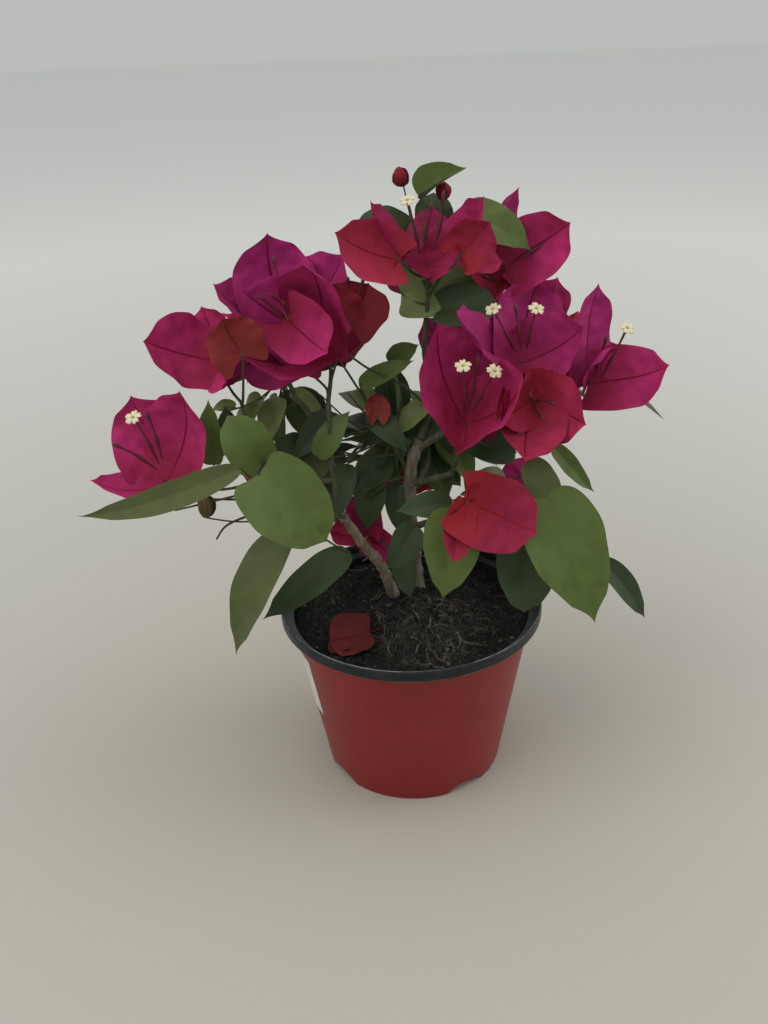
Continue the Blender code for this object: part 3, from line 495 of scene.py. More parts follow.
def add_blade(pile, slot, *plan):
    """Puts a blade on a pile, in the three materials from this slot on."""
    points, faces, kinds, marks = blade(*plan)
    pile.add(points, faces, slot + kinds, marks)
    return points, faces


# Materials

BLACK, WHITE = (0, 0, 0), (1, 1, 1)


def new_material(name, colour, roughness, specular=0.5):
    material = bpy.data.materials.new(name)
    material.use_nodes = True
    shader = material.node_tree.nodes["Principled BSDF"]
    shader.inputs["Base Color"].default_value = (*colour, 1)
    shader.inputs["Roughness"].default_value = roughness
    shader.inputs["Specular IOR Level"].default_value = specular
    return material


def plug(tree, socket, value):
    """Gives a socket a number, a colour or another node's output."""
    if isinstance(value, bpy.types.NodeSocket):
        tree.links.new(value, socket)
    else:
        socket.default_value = (*value, 1) if socket.type == "RGBA" else value


def add_node(tree, kind, **inputs):
    node = tree.nodes.new("ShaderNode" + kind)
    for name, value in inputs.items():
        plug(tree, node.inputs[name], value)
    return node


def noise_node(tree, scale, detail, stretch=(1, 1, 1)):
    """Noise over the object's own coordinates, in metres."""
    place = add_node(tree, "TexCoord").outputs["Object"]
    place = add_node(tree, "Mapping", Vector=place, Scale=stretch).outputs["Vector"]
    return add_node(tree, "TexNoise", Vector=place, Scale=scale, Detail=detail).outputs["Fac"]


def ramp_node(tree, value, *stops):
    ramp = add_node(tree, "ValToRGB", Fac=value)
    elements = ramp.color_ramp.elements
    while len(elements) < len(stops):
        elements.new(0.5)
    for element, (place, colour) in zip(elements, stops):
        element.position = place
        element.color = (*colour, 1)
    return ramp.outputs["Color"]


def mottled(tree, scale, detail, *stops):
    return ramp_node(tree, noise_node(tree, scale, detail), *stops)


def math_node(tree, operation, *values):
    node = add_node(tree, "Math")
    node.operation = operation
    for socket, value in zip(node.inputs, values):
        plug(tree, socket, value)
    return node.outputs[0]


def mix_node(tree, share, first, second):
    mix = add_node(tree, "Mix")
    mix.data_type = "RGBA"
    for socket, value in ((mix.inputs["Factor"], share), (mix.inputs[6], first), (mix.inputs[7], second)):
        plug(tree, socket, value)
    return mix.outputs[2]


def dress(material, colour, height=None, distance=0, strength=1):
    """Gives a material its colour and, where there is a height, a bump."""
    tree = material.node_tree
    shader = tree.nodes["Principled BSDF"]
    plug(tree, shader.inputs["Base Color"], colour)
    if height is not None:
        bump = add_node(tree, "Bump", Height=height, Distance=distance, Strength=strength)
        plug(tree, shader.inputs["Normal"], bump.outputs["Normal"])


def scaled(colour, factor):
    return tuple(min(1, factor * c) for c in colour)


def blended(first, second, share):
    return tuple((1 - share) * a + share * b for a, b in zip(first, second))


def blade_material(name, colour, foot, vein_colour, veins, vein_share, roughness, specular):
    """A living blade: one colour at its foot turns to another, mottled, with side veins and a fine grain."""
    material = new_material(name, colour, roughness, specular)
    tree = material.node_tree
    calc = partial(math_node, tree)
    marks = add_node(tree, "UVMap")
    marks.uv_map = "blade"
    parts = add_node(tree, "SeparateXYZ", Vector=marks.outputs["UV"])
    along, across = parts.outputs["X"], parts.outputs["Y"]
    patches = calc("MULTIPLY", mottled(tree, 24, 1, (0.42, BLACK), (0.6, WHITE)), 0.4)
    body = mottled(tree, 110, 5, (0.3, scaled(colour, 0.8)), (0.7, scaled(colour, 1.2)))
    body = mix_node(tree, patches, body, foot)
    body = mix_node(tree, calc("SMOOTH_MIN", calc("MULTIPLY", along, 1.9), 1.0, 0.3), foot, body)
    spread = calc("ABSOLUTE", calc("SUBTRACT", across, 0.5))
    phase = calc("SUBTRACT", along, calc("MULTIPLY", spread, 0.56))
    wave = calc("ABSOLUTE", calc("SINE", calc("MULTIPLY", phase, math.pi * veins)))
    vein = calc("MULTIPLY", calc("POWER", calc("SUBTRACT", 1.0, wave), 6.0), vein_share)
    share = calc("MULTIPLY", vein, calc("SUBTRACT", 1.35, along))
    dress(material, mix_node(tree, share, body, vein_colour), noise_node(tree, 700, 3), 0.0002, 0.5)
    return material


def bark_material(name, dark, light, scale=350):
    material = new_material(name, light, 0.85)
    tree = material.node_tree
    grain = noise_node(tree, scale, 6, (1, 1, 0.18))
    streaks = ramp_node(tree, grain, (0.35, dark), (0.62, light))
    patches = math_node(tree, "MULTIPLY", noise_node(tree, 70, 3), 0.7)
    dress(material, mix_node(tree, patches, streaks, blended(dark, light, 0.6)), grain, 0.0006, 0.8)
    return material


LEAF_COLOURS = {
    "leaf": (0.078, 0.116, 0.023),
    "bright": (0.082, 0.120, 0.027),
    "olive": (0.072, 0.088, 0.025),
    "dark": (0.028, 0.047, 0.015),
    # pale: a lighter green as painted light, for a leaf that sits in the shade of the blooms
    "pale": (0.150, 0.185, 0.060),
}
BRACT_COLOURS = {  # at the foot, and over the rest. The deeper foot is partly each bract's own hue and partly painted shade in the bowl of the bloom
    "magenta": ((0.20, 0.008, 0.026), (0.385, 0.022, 0.118)),
    "purple": ((0.19, 0.008, 0.036), (0.355, 0.023, 0.142)),
    "crimson": ((0.20, 0.009, 0.016), (0.355, 0.023, 0.070)),
    "wine": ((0.11, 0.008, 0.010), (0.205, 0.015, 0.026)),
    "red": ((0.26, 0.014, 0.016), (0.240, 0.014, 0.046)),
    "amber": ((0.13, 0.013, 0.011), (0.19, 0.022, 0.022)),
    "young": ((0.20, 0.045, 0.032), (0.24, 0.036, 0.036)),
    "spent": ((0.075, 0.010, 0.010), (0.125, 0.017, 0.018)),
    "dry": ((0.075, 0.070, 0.030), (0.110, 0.080, 0.038)),
}
LEAF_TINTS = list(LEAF_COLOURS)
BRACT_TINTS = list(BRACT_COLOURS)


def leaf_materials():
    """For each tint: face, midrib and back."""
    found = []
    for tint, colour in LEAF_COLOURS.items():
        vein = blended(colour, (0.16, 0.20, 0.07), 0.04 + 0.9 * colour[1])
        back = blended(colour, (0.13, 0.16, 0.08), 0.5)
        veins = LEAF_SHAPE.veins
        found += [blade_material(f"{tint}_face", colour, scaled(colour, 1.05), vein, veins, 0.16, 0.5, 0.3),
                  new_material(f"{tint}_midrib", vein, 0.6, 0.2),
                  blade_material(f"{tint}_back", back, back, vein, veins, 0.3, 0.7, 0.2)]
    return found


def bract_materials():
    found = []
    for tint, (foot, colour) in BRACT_COLOURS.items():
        vein = scaled(colour, 0.62)
        veins = BRACT_SHAPE.veins
        found += [blade_material(f"{tint}_face", colour, foot, vein, veins, 0.3, 0.7, 0.15),
                  # The midrib is the foot colour darkened, so it carries the foot's painted shade too
                  new_material(f"{tint}_midrib", scaled(foot, 0.8), 0.8, 0.1),
                  blade_material(f"{tint}_back", scaled(colour, 0.9), foot, vein, veins, 0.25, 0.75, 0.12)]
    return found


# Pot and soil

# The third band colour is a painted highlight on the lip's edges
RED, SLATE, PAINTED_HIGHLIGHT = range(3)


def wall_radius(height):
    """The outside of the pot's wall, under the lip."""
    return FOOT_RADIUS + height / UNDER_LIP * (LIP_RADIUS - LIP_STEP - FOOT_RADIUS)


def notch_top(bearing):
    """How high a notch cuts the foot of the wall at this bearing, 0 between notches."""
    step = 360 / NOTCHES
    off = (bearing - NOTCH_BEARING + step / 2) % step - step / 2
    if abs(off) >= NOTCH_HALF_ANGLE:
        return 0
    return NOTCH_HEIGHT * math.sqrt(1 - (off / NOTCH_HALF_ANGLE) ** 2)


def pot_materials():
    """The red wall, scuffed and dusty, the slate lip and inside, and the light rings on the lip's edges, a
    painted highlight.
    """
    red = new_material("pot_red", (0.21, 0.012, 0.012), 0.4, 0.35)
    tree = red.node_tree
    smear = mottled(tree, 28, 6, (0.3, (0.195, 0.0115, 0.0120)), (0.7, (0.230, 0.0150, 0.0155)))
    specks = math_node(tree, "MULTIPLY", mottled(tree, 900, 2, (0.70, BLACK), (0.76, WHITE)), 0.35)
    grain = noise_node(tree, 500, 3, (1, 1, 0.3))
    dress(red, mix_node(tree, specks, smear, (0.24, 0.05, 0.045)), grain, 0.00012, 0.5)
    slate = new_material("pot_slate", (0.010, 0.013, 0.014), 0.35, 0.3)
    tree = slate.node_tree
    dust = mottled(tree, 120, 6, (0.40, (0.006, 0.009, 0.010)), (0.72, (0.017, 0.019, 0.019)))
    dress(slate, dust, noise_node(tree, 600, 3), 0.0001, 0.4)
    # A light mottled grey on the lip's edges: a painted highlight
    painted_highlight = new_material("pot_worn_edge", (0.085, 0.09, 0.09), 0.4)
    dress(painted_highlight, mottled(painted_highlight.node_tree, 90, 5, (0.42, (0.04, 0.045, 0.046)), (0.6, (0.19, 0.195, 0.195))))
    return red, slate, painted_highlight


def make_pot():
    wall, inside, top = wall_radius(UNDER_LIP), LIP_RADIUS - WALL, POT_HEIGHT
    foot_ring = 0.9 * FOOT_RADIUS  # what lies outside it is cut by the notches
    # Radius, height, and the colour of the band above
    profile = [(0.001, 0.6, RED), (0.86 * FOOT_RADIUS, 0.6, RED), (foot_ring, 0, RED),
               (FOOT_RADIUS - 0.7, 0, RED), (FOOT_RADIUS, 0.5, RED)]
    profile += [(wall_radius(z), z, RED) for z in (3, 8, 20, 40, 60, 80, 96)]
    # The light rings under the lip and round its top outer edge are the painted highlight
    profile += [(wall - 0.2, UNDER_LIP - 0.9, RED), (wall + 0.5, UNDER_LIP, SLATE),
                (LIP_RADIUS - 0.9, UNDER_LIP + 0.1, PAINTED_HIGHLIGHT), (LIP_RADIUS - 0.1, UNDER_LIP + 1.0, SLATE),
                (LIP_RADIUS, top - 2.2, SLATE), (LIP_RADIUS - 0.1, top - 0.7, SLATE),
                (LIP_RADIUS - 0.6, top - 0.1, PAINTED_HIGHLIGHT), (LIP_RADIUS - 1.2, top, SLATE),
                (inside - 0.5, top - 0.3, SLATE), (inside - 1.1, top - 1.8, SLATE),
                (inside - 1.3, UNDER_LIP + 2.2, SLATE), (wall - WALL, UNDER_LIP + 0.4, SLATE)]
    profile += [(wall_radius(z) - WALL, z, SLATE) for z in (95, 60, 20, 8)] + [(0.001, 8, SLATE)]
    points, faces, slots = [], [], []
    for radius, height, _ in profile:
        for bearing in (360 * k / POT_SIDES for k in range(POT_SIDES)):
            reach, lifted = radius, height
            if radius > foot_ring and notch_top(bearing) > height:
                lifted = notch_top(bearing)
                reach = max(radius, wall_radius(lifted) - 0.2 * (radius < FOOT_RADIUS))
            points.append((*polar(reach, math.radians(bearing)), lifted))
    for ring, (*_, slot) in enumerate(profile[:-1]):
        faces += band(ring * POT_SIDES, (ring + 1) * POT_SIDES, POT_SIDES)
        slots += [slot] * POT_SIDES
    pile = Pile(*pot_materials())
    pile.add(points, faces, slots)
    pile.piece("pot_shell", "pot_plastic", ["pot"], 40)


def make_label():
    """A blank sticker round the left side of the wall."""
    paper = new_material("label_paper", (0.62, 0.60, 0.57), 0.6)
    dress(paper, mottled(paper.node_tree, 60, 6, (0.3, (0.56, 0.54, 0.50)), (0.7, (0.66, 0.645, 0.62))))
    rows, columns = 10, 20
    width = columns + 1
    layer = (rows + 1) * width
    points, faces = [], []
    for out in (0.05, 0.3):
        for i in range(rows + 1):
            z = LABEL_BOTTOM + (LABEL_TOP - LABEL_BOTTOM) * i / rows
            for j in range(width):
                bearing = LABEL_FROM + (LABEL_TO - LABEL_FROM) * j / columns
                points.append((*polar(wall_radius(z) + out, math.radians(bearing)), z))
    for a in (i * width + j for i in range(rows) for j in range(columns)):
        quad = (a, a + 1, a + width + 1, a + width)
        faces += [tuple(layer + corner for corner in quad), quad[::-1]]
    edge = list(range(columns)) + [i * width + columns for i in range(rows)]
    edge += [rows * width + j for j in range(columns, 0, -1)] + [i * width for i in range(rows, 0, -1)]
    faces += [(a, b, layer + b, layer + a) for a, b in zip(edge, edge[1:] + edge[:1])]
    pile = Pile(paper)
    pile.add(points, faces)
    pile.piece("label", "pot_plastic", sharp=30)


def soil_height(x, y):
    """The height of the peat, heaped round the stems, without its lumps."""
    away = math.hypot(x - MOUND_CENTRE[0], y - MOUND_CENTRE[1])
    edge = wall_radius(SOIL_EDGE) - WALL
    share = 1 - min(1, max(0, (away - MOUND_RADIUS) / (edge - MOUND_RADIUS)))
    return SOIL_EDGE + share * share * (3 - 2 * share) * (MOUND_TOP - SOIL_EDGE)


def rough(x, y, scale, layer):
    return noise.noise(Vector((x * scale, y * scale, layer)))


def lumpy(x, y):
    """The height of the peat with its clods, its pits and the tufts of its heap."""
    clods = noise.fractal(Vector((x * 0.075, y * 0.075, 3.0)), 0.8, 2.1, 6)
    pits = max(0, 0.28 - abs(rough(x, y, 0.2, 5.0)))
    heap = math.exp(-((x - HEAP[0]) / HEAP_SIZE[0]) ** 2 - ((y - HEAP[1]) / HEAP_SIZE[1]) ** 2)
    tufts = 1 - 2 * abs(rough(x, y, 0.11, 1.0))
    fine = rough(x, y, 0.55, 9.0)
    return soil_height(x, y) + 2.9 * clods + 1.1 * fine - 4.5 * pits - 0.8 + heap * (4.6 * tufts - 1.2)


def make_soil(rng):
    # The peat's colours are very dark: partly the peat's own colour, partly painted shade
    peat = new_material("peat", (0.012, 0.010, 0.008), 0.95)
    tree = peat.node_tree
    crumbs = noise_node(tree, 260, 8)
    dress(peat, ramp_node(tree, crumbs, (0.38, (0.0015, 0.0015, 0.0013)), (0.58, (0.006, 0.0056, 0.0045)),
                          (0.74, (0.026, 0.023, 0.018))), crumbs, 0.0015)
    edge = wall_radius(SOIL_EDGE) - WALL - 0.3
    under = wall_radius(SOIL_BOTTOM) - WALL - 0.4
    turns = [2 * math.pi * k / SOIL_SIDES for k in range(SOIL_SIDES)]
    spots = [(0, 0)] + [polar(edge * ring / SOIL_RINGS, turn)
                        for ring in range(1, SOIL_RINGS + 1) for turn in turns]
    points = [(x, y, lumpy(x, y)) for x, y in spots]
    points += [(*polar(under, turn), SOIL_BOTTOM) for turn in turns] + [(0, 0, SOIL_BOTTOM)]
    last = len(points) - 1
    low = last - SOIL_SIDES
    faces = [(0, a, b) for a, b, *_ in band(1, 1, SOIL_SIDES)]
    faces += [(last, b, a) for a, b, *_ in band(low, low, SOIL_SIDES)]
    for ring in range(1, low, SOIL_SIDES):
        faces += over(band(ring, ring + SOIL_SIDES, SOIL_SIDES))
    pile = Pile(peat)
    pile.add(points, faces)
    pile.piece("peat_surface", "peat", ["soil"])
    make_fibres(edge, rng)


def make_fibres(edge, rng):
    """Roots and shredded bark lying in bundles that run out from the stems, and crumbs among them."""
    colours = ((0.007, 0.0065, 0.005), (0.026, 0.023, 0.017), (0.070, 0.062, 0.046), (0.145, 0.132, 0.100))
    fibres = [new_material(f"fibre_{k}", colour, 0.9) for k, colour in enumerate(colours)]
    pile = Pile(*fibres)
    for number in range(FIBRES):
        if number % FIBRES_PER_BUNDLE == 0:
            middle = np.array(polar(edge * PEAT_REACH * rng.uniform() ** 0.6, rng.uniform(0, 2 * math.pi)))
            if rng.uniform() < HEAP_SHARE:
                middle = HEAP + rng.normal(0, 1, 2) * (15, 17)
            lie = math.atan2(*(middle - MOUND_CENTRE)[::-1]) + rng.normal(0, 0.9)
            heaped = math.hypot(*(middle - HEAP) / HEAP_SIZE) < 1
            tone = int(rng.choice(4, p=HEAP_TONES if heaped else PEAT_TONES))
        x, y = middle + rng.normal(0, 2.6, 2)
        bearing, bend = lie + rng.normal(0, 0.5), rng.uniform(-1.8, 1.8)
        length = rng.uniform(5, 24)
        lift = rng.uniform(-0.1, 1.2)
        path = []
        for step in range(FIBRE_STEPS):
            if math.hypot(x, y) > edge - 0.8:
                break
            hump = math.sin(math.pi * (step + 0.5) / FIBRE_STEPS)
            path.append((x, y, lumpy(x, y) + lift * hump + rng.uniform(-0.2, 0.4)))
            x += length / (FIBRE_STEPS - 1) * math.cos(bearing)
            y += length / (FIBRE_STEPS - 1) * math.sin(bearing)
            bearing += bend / (FIBRE_STEPS - 1) + rng.uniform(-0.2, 0.2)
        if len(path) < 3:
            continue
        thick = rng.uniform(0.05, 0.17) + 0.35 * (rng.uniform() < 0.08)
        pile.add(*tube(path, [thick] * (len(path) - 1) + [0.04], 4), tone)
    for _ in range(FLAKES):
        x, y = HEAP + rng.normal(0, 1, 2) * (19, 20)
        if math.hypot(x, y) > edge - 8:
            continue
        points, faces = crumb(1, rng)
        ahead, aside = polar(1, rng.uniform(0, 2 * math.pi))
        long = rng.uniform(2, 5.5) * np.array([ahead, aside, rng.uniform(-0.3, 0.5)])
        wide = rng.uniform(0.3, 0.9) * np.array([-aside, ahead, rng.uniform(-0.6, 0.6)])
        points = points[:, :1] * long + points[:, 1:2] * wide + points[:, 2:] * np.array([0, 0, 0.3])
        points += (x, y, lumpy(x, y) + rng.uniform(0, 1))
        pile.add(points, faces, int(rng.choice(3, p=(0.4, 0.42, 0.18))))
    pile.piece("peat_fibres", "peat")
    pile = Pile(*fibres[:3])
    for _ in range(CRUMBS):
        x, y = polar(edge * PEAT_REACH * math.sqrt(rng.uniform()), rng.uniform(0, 2 * math.pi))
        size = rng.uniform(0.3, 1.0) ** 2 * 2.2
        points, faces = crumb(size, rng)
        points += (x, y, lumpy(x, y) + 0.2 * size)
        pile.add(points, faces, int(rng.choice(3, p=(0.6, 0.3, 0.1))))
    pile.piece("peat_crumbs", "peat", sharp=20)


def crumb(size, rng):
    """A rough lump: an octahedron with its points pushed about."""
    points = np.array([(1, 0, 0), (0, 1, 0), (-1, 0, 0), (0, -1, 0), (0, 0, 0.7), (0, 0, -0.7)], float)
    points *= size * rng.uniform(0.6, 1.2, (6, 1))
    ahead, aside = polar(1, rng.uniform(0, math.pi))
    spin = np.array([(ahead, -aside, 0), (aside, ahead, 0), (0, 0, 1)])
    faces = [(k, (k + 1) % 4, 4) for k in range(4)] + [((k + 1) % 4, k, 5) for k in range(4)]
    return points @ spin.T, faces


# From, to, both with their height over the peat, width and the way the face looks
SPENT_BRACTS = [((-25, -32, 5.6), (-48, -34, 4.6), 31, (0.05, -0.40, 1)),
                ((-33, -28, 2.4), (-47, -41, 1.2), 17, (-0.4, -0.3, 1))]
SPENT_STALK = [(-26, -32, 5.3), (-21, -29, 3.4), (-17, -24, 0.8)]


def make_fallen_bract(rng, materials):
    """Two spent bracts of one bloom, one over the other, leaning on the peat."""
    def on_soil(x, y, above):
        return np.array([x, y, soil_height(x, y) + above])

    pile = Pile(*materials)
    slot = 3 * BRACT_TINTS.index("spent")
    for base, tip, width, face in SPENT_BRACTS:
        add_blade(pile, slot, on_soil(*base), on_soil(*tip), width, face, SPENT_SHAPE, rng)
    stalk = smooth_path([on_soil(*point) for point in SPENT_STALK], 6)
    pile.add(*tube(stalk, np.linspace(0.6, 0.4, len(stalk)), 8), slot + 1)
    pile.piece("fallen_bloom", "spent_bract", ["fallen_bract"])


# Limbs

# How much slimmer than its solid a limb looks
SLIMMING = {"upright": 0.72, "left_shoot": 0.8, "left_cane": 0.78, "main_stem": 0.84}
SLIMMING_ELSEWHERE = 0.9
SUNK = 2.5  # how far a stem's foot runs on below the top of the mound
WORN_END = (0.97, 0.9, 0.72)  # the rounded top of the left cane


def make_limbs(rng):
    old = bark_material("old_bark", (0.065, 0.050, 0.036), (0.27, 0.21, 0.145))
    grey = bark_material("grey_bark", (0.038, 0.032, 0.022), (0.19, 0.165, 0.115))
    young = bark_material("young_bark", (0.028, 0.027, 0.014), (0.085, 0.085, 0.045), 500)
    groups = {"trunk": (grey, ["main_stem"]), "cane": (old, ["left_cane"]),
              "boughs": (young, [name for name in LIMBS if name not in ("main_stem", "left_cane")])}
    for group, (bark, names) in groups.items():
        pile = Pile(bark)
        for name in names:
            grow_limb(pile, name, LIMBS[name], rng)
        pile.piece(f"{group}_bark", "bark", names)


def grow_limb(pile, name, limb, rng):
    """A limb with its root flare, swollen knots and bark relief, and a spur at each knot."""
    woody = len(limb.path[0]) == 2
    path = smooth_path([p if len(p) == 3 else (*p, MOUND_TOP - SUNK) for p in limb.path], 22)
    radii = np.linspace(*limb.radii, len(path)) * SLIMMING.get(name, SLIMMING_ELSEWHERE)
    if woody:
        heights = path[:, 2] - path[0, 2]
        radii = radii * (1 + (FLARE - 1) * np.clip(1 - heights / FLARE_HEIGHT, 0, 1) ** 2)
    lengths = np.concatenate([[0], np.cumsum(np.linalg.norm(np.diff(path, axis=0), axis=1))])
    knots = rng.uniform(3, 9) + np.cumsum(rng.uniform(8, 15, 12))
    swell = sum(np.exp(-(((lengths - knot) / 1.3) ** 2)) for knot in knots)
    radii = radii * (1 + 0.16 * np.minimum(1, swell))
    if name == "left_cane":
        radii[-len(WORN_END):] *= WORN_END

    def relief(centre, spot):
        x, y, z = centre + 2.4 * spot
        ridge = noise.noise(Vector((x * 1.1, y * 1.1, z * 0.16)))
        knob = noise.noise(Vector((x * 0.33, y * 0.33, z * 0.14)))
        return 1 + (0.13 * ridge + 0.14 * knob if woody else 0.05 * ridge + 0.05 * knob)

    pile.add(*tube(path, radii, STEM_SIDES if woody else BOUGH_SIDES, relief))
    for knot in knots[knots < lengths[-1] - 4]:
        k = int(np.searchsorted(lengths, knot))
        way = unit(path[min(k + 1, len(path) - 1)] - path[k - 1])
        grow_spur(pile, path[k], radii[k], way, rng)


def grow_spur(pile, centre, radius, way, rng):
    """A short curved thorn or the stub of an old stalk at a knot."""
    out = rng.normal(size=3)
    out = unit(out - out.dot(way) * way)
    length = rng.uniform(2.0, 5.0)
    start = centre + 0.6 * radius * out
    spur = smooth_path([start, start + (0.4 * radius + 0.5 * length) * unit(out + 0.3 * way),
                        start + (0.4 * radius + length) * unit(out + 0.15 * way)], 4)
    pile.add(*tube(spur, np.linspace(0.55, 0.12, len(spur)), 8))


# Foliage


class Crowd:
    """What has grown so far, so that seeded leaves can keep off it."""

    def __init__(self):
        self.trees = []

    def add(self, points, faces):
        tree = BVHTree.FromPolygons(points.tolist(), faces if isinstance(faces, list) else faces.tolist())
        self.trees.append((points.min(axis=0), points.max(axis=0), tree))

    def clear(self, points, faces):
        low, high = points.min(axis=0), points.max(axis=0)
        tree = None
        for bottom, top, found in self.trees:
            if (low > top).any() or (bottom > high).any():
                continue
            tree = tree or BVHTree.FromPolygons(points.tolist(), faces.tolist())
            if tree.overlap(found):
                return False
        return True


def sagging(start, end, share):
    drop = 4 * share * (1 - share) * TWIG_BEND * np.linalg.norm(end - start)
    return start + share * (end - start) - (0, 0, drop)


def grow_stalk(pile, start, end, onward, thick=1.0):
    """A stalk that runs just into what it carries, and sags where it is long."""
    bent = [sagging(start, end, share) for share in (0.33, 0.66)]
    if np.linalg.norm(end - start) <= LONG_STALK:
        bent = []
    path = smooth_path([start, *bent, end, end + 1.5 * onward], 4)
    points, faces = tube(path, np.linspace(TWIG_RADIUS, TWIG_TIP, len(path)) * thick, TWIG_SIDES)
    pile.add(points, faces)
    return points, faces


TUBE, STAR, THROAT = range(3)
LOBES = 5
STAR_SIDES = 60
STAR_RINGS = (0.0, 0.2, 0.45, 0.7, 0.88, 1.0)


def grow_flower(pile, start, tip, opened, rng):
    """A narrow tube that swells low down, closed at its tip or open in a small ruffled star."""
    start, tip = np.asarray(start, float), np.asarray(tip, float)
    reach = np.linalg.norm(tip - start)
    bowed = 0.5 * (start + tip) + rng.uniform(-0.06, 0.06, 3) * reach
    path = smooth_path([start, bowed, tip], 8)
    share = np.linspace(0, 1, len(path))
    radii = 0.42 + 0.62 * np.exp(-(((share - 0.36) / 0.16) ** 2)) + 0.42 * share**4
    if not opened:
        radii = radii + 0.42 * np.exp(-(((share - 0.9) / 0.08) ** 2))
        radii[-1] = 0.25
    pile.add(*tube(path, radii, 10), TUBE)
    if opened:
        out = unit(unit(path[-1] - path[-2]) + 0.5 * LIGHT * np.sign(BACK_FLOWERS - tip[1]))
        grow_star(pile, path[-1], out, rng)


def grow_star(pile, centre, out, rng):
    """Five ruffled lobes round a throat."""
    side = unit(np.cross(out, (0.2, 0.3, 0.9)))
    other = np.cross(out, side)
    points, faces = [], []
    phase = rng.uniform(0, 2 * math.pi)
    for ring in STAR_RINGS:
        for angle in (2 * math.pi * k / STAR_SIDES for k in range(STAR_SIDES)):
            lobe = abs(math.cos(LOBES / 2 * angle)) ** 0.5
            notch = 1 - 0.22 * ring * math.exp(-((LOBES * angle / (2 * math.pi) % 1 / 0.12) ** 2))
            away = 0.8 + ring * (1.25 + 2.6 * lobe) * notch
            ruffle = 0.45 * ring * math.sin(5 * angle + phase) * math.cos(3 * angle)
            lift = 0.3 + 1.5 * ring - 1.5 * ring**2.5 + ruffle
            points.append(centre + away * (math.cos(angle) * side + math.sin(angle) * other) + lift * out)
    thin = len(points)
    rim = thin - STAR_SIDES
    for ring in range(0, rim, STAR_SIDES):
        faces += over(band(ring, ring + STAR_SIDES, STAR_SIDES))
    points += [p - 0.35 * out for p in points]
    faces += [tuple(thin + i for i in face)[::-1] for face in faces]
    faces += band(0, thin, STAR_SIDES) + [face[::-1] for face in band(rim, thin + rim, STAR_SIDES)]
    pile.add(points, faces, STAR)
    pile.add(*tube([centre - 0.2 * out, centre + 0.9 * out], [0.85, 0.55], 10), THROAT)


def grow_bloom(piles, bloom, crowd, rng):
    """A bloom's bracts and flowers. Gives the way that the bloom looks."""
    base = np.array(bloom.base, float)
    ways = [heading(*bract[:2]) for bract in bloom.bracts]
    axis = unit(sum(ways))
    light = LIGHT if base[1] < BACK_BLOOMS else LIGHT * (1, -1, 1)
    tints = itertools.cycle(3 * BRACT_TINTS.index(tint) for tint in bloom.tint.split())
    for way, (_, _, length, width, *lit), slot, state in zip(ways, bloom.bracts, tints, bloom.flowers):
        # Each bract turns a little about its own length, to lie over one neighbour and under the other
        face = axis + (lit[0] if lit else LIGHT_TURN) * light
        face = face + PINWHEEL * np.cross(way, unit(face))
        tip = base + length * way
        crowd.add(*add_blade(piles["bracts"], slot, base, tip, width, face, BRACT_SHAPE, rng))
        if state != "-":
            lean = unit(0.45 * way + 0.62 * axis + rng.uniform(-0.08, 0.08, 3))
            start = base + 0.14 * length * way
            grow_flower(piles["flowers"], start, start + 0.6 * length * lean, state == "o", rng)
    for start, tip, state in bloom.tubes:
        grow_flower(piles["flowers"], start, tip, state == "o", rng)
    return axis


def grow_bud(piles, bud, rng):
    """A young bloom, its bracts still closed round each other. Gives the way that it points."""
    way = heading(bud.bearing, bud.rise)
    base = np.array(bud.base, float)
    across = unit(np.cross(way, (0.3, 0.2, 0.9)))
    slot = 3 * BRACT_TINTS.index(bud.tint)
    for turn in range(3):
        ahead, aside = polar(1, 2 * math.pi * turn / 3)
        out = ahead * across + aside * np.cross(way, across)
        start = base + 0.15 * bud.width * out
        tip = base + bud.length * way + 0.05 * bud.width * out
        add_blade(piles["bracts"], slot, start, tip, bud.width * 1.1, -out, BUD_SHAPE, rng, PLAIN)
    return way


def grow_named(piles, mass, crowd, rng):
    """What a mass's own rows place, each on a stalk from its stem. Gives the stem's outer half."""
    stem = smooth_path(mass.stem, 6)
    points, faces = tube(stem, np.linspace(TWIG_RADIUS * 1.6, TWIG_RADIUS, len(stem)), 9)
    piles["twigs"].add(points, faces)
    crowd.add(points, faces)
    roots = list(stem[:len(stem) // 2 - 2:-1])
    root = itertools.cycle(roots)
    for bloom in mass.blooms:
        axis = grow_bloom(piles, bloom, crowd, rng)
        crowd.add(*grow_stalk(piles["twigs"], next(root), np.array(bloom.base, float), axis))
    for leaf in mass.leaves:
        base = np.array(leaf.base, float)
        way = heading(leaf.bearing, leaf.rise)
        shape = HEART_SHAPE if leaf.width > BROAD * leaf.length else LEAF_SHAPE
        if leaf.fold:
            shape = shape._replace(fold=leaf.fold)
        crowd.add(*add_blade(piles["leaves"], 3 * LEAF_TINTS.index(leaf.tint), base, base + leaf.length * way,
                             leaf.width, FACES[leaf.face], shape, rng))
        crowd.add(*grow_stalk(piles["twigs"], next(root), base, way, 0.8))
    for bud in mass.buds:
        way = grow_bud(piles, bud, rng)
        grow_stalk(piles["twigs"], next(root), np.array(bud.base, float), way, 0.7)
    for path in mass.twigs:
        path = smooth_path(path, 6)
        piles["twigs"].add(*tube(path, np.linspace(TWIG_RADIUS, TWIG_TIP, len(path)), TWIG_SIDES))
    return roots


# Clear air seen through the crown: a middle, then half its width and height across the line of sight
SIGHT = unit((0.0, 1.0, -0.37))
OPENINGS = [((-88, 40, 231), 26, 9), ((-52, 40, 233), 26, 9), ((-26, 40, 240), 12, 7),
            ((-1, 40, 283), 9, 26), ((-6, 40, 318), 9, 9), ((20, 40, 262), 6, 12),
            ((-45, 40, 203), 5, 4), ((-13, 40, 205), 4, 3)]


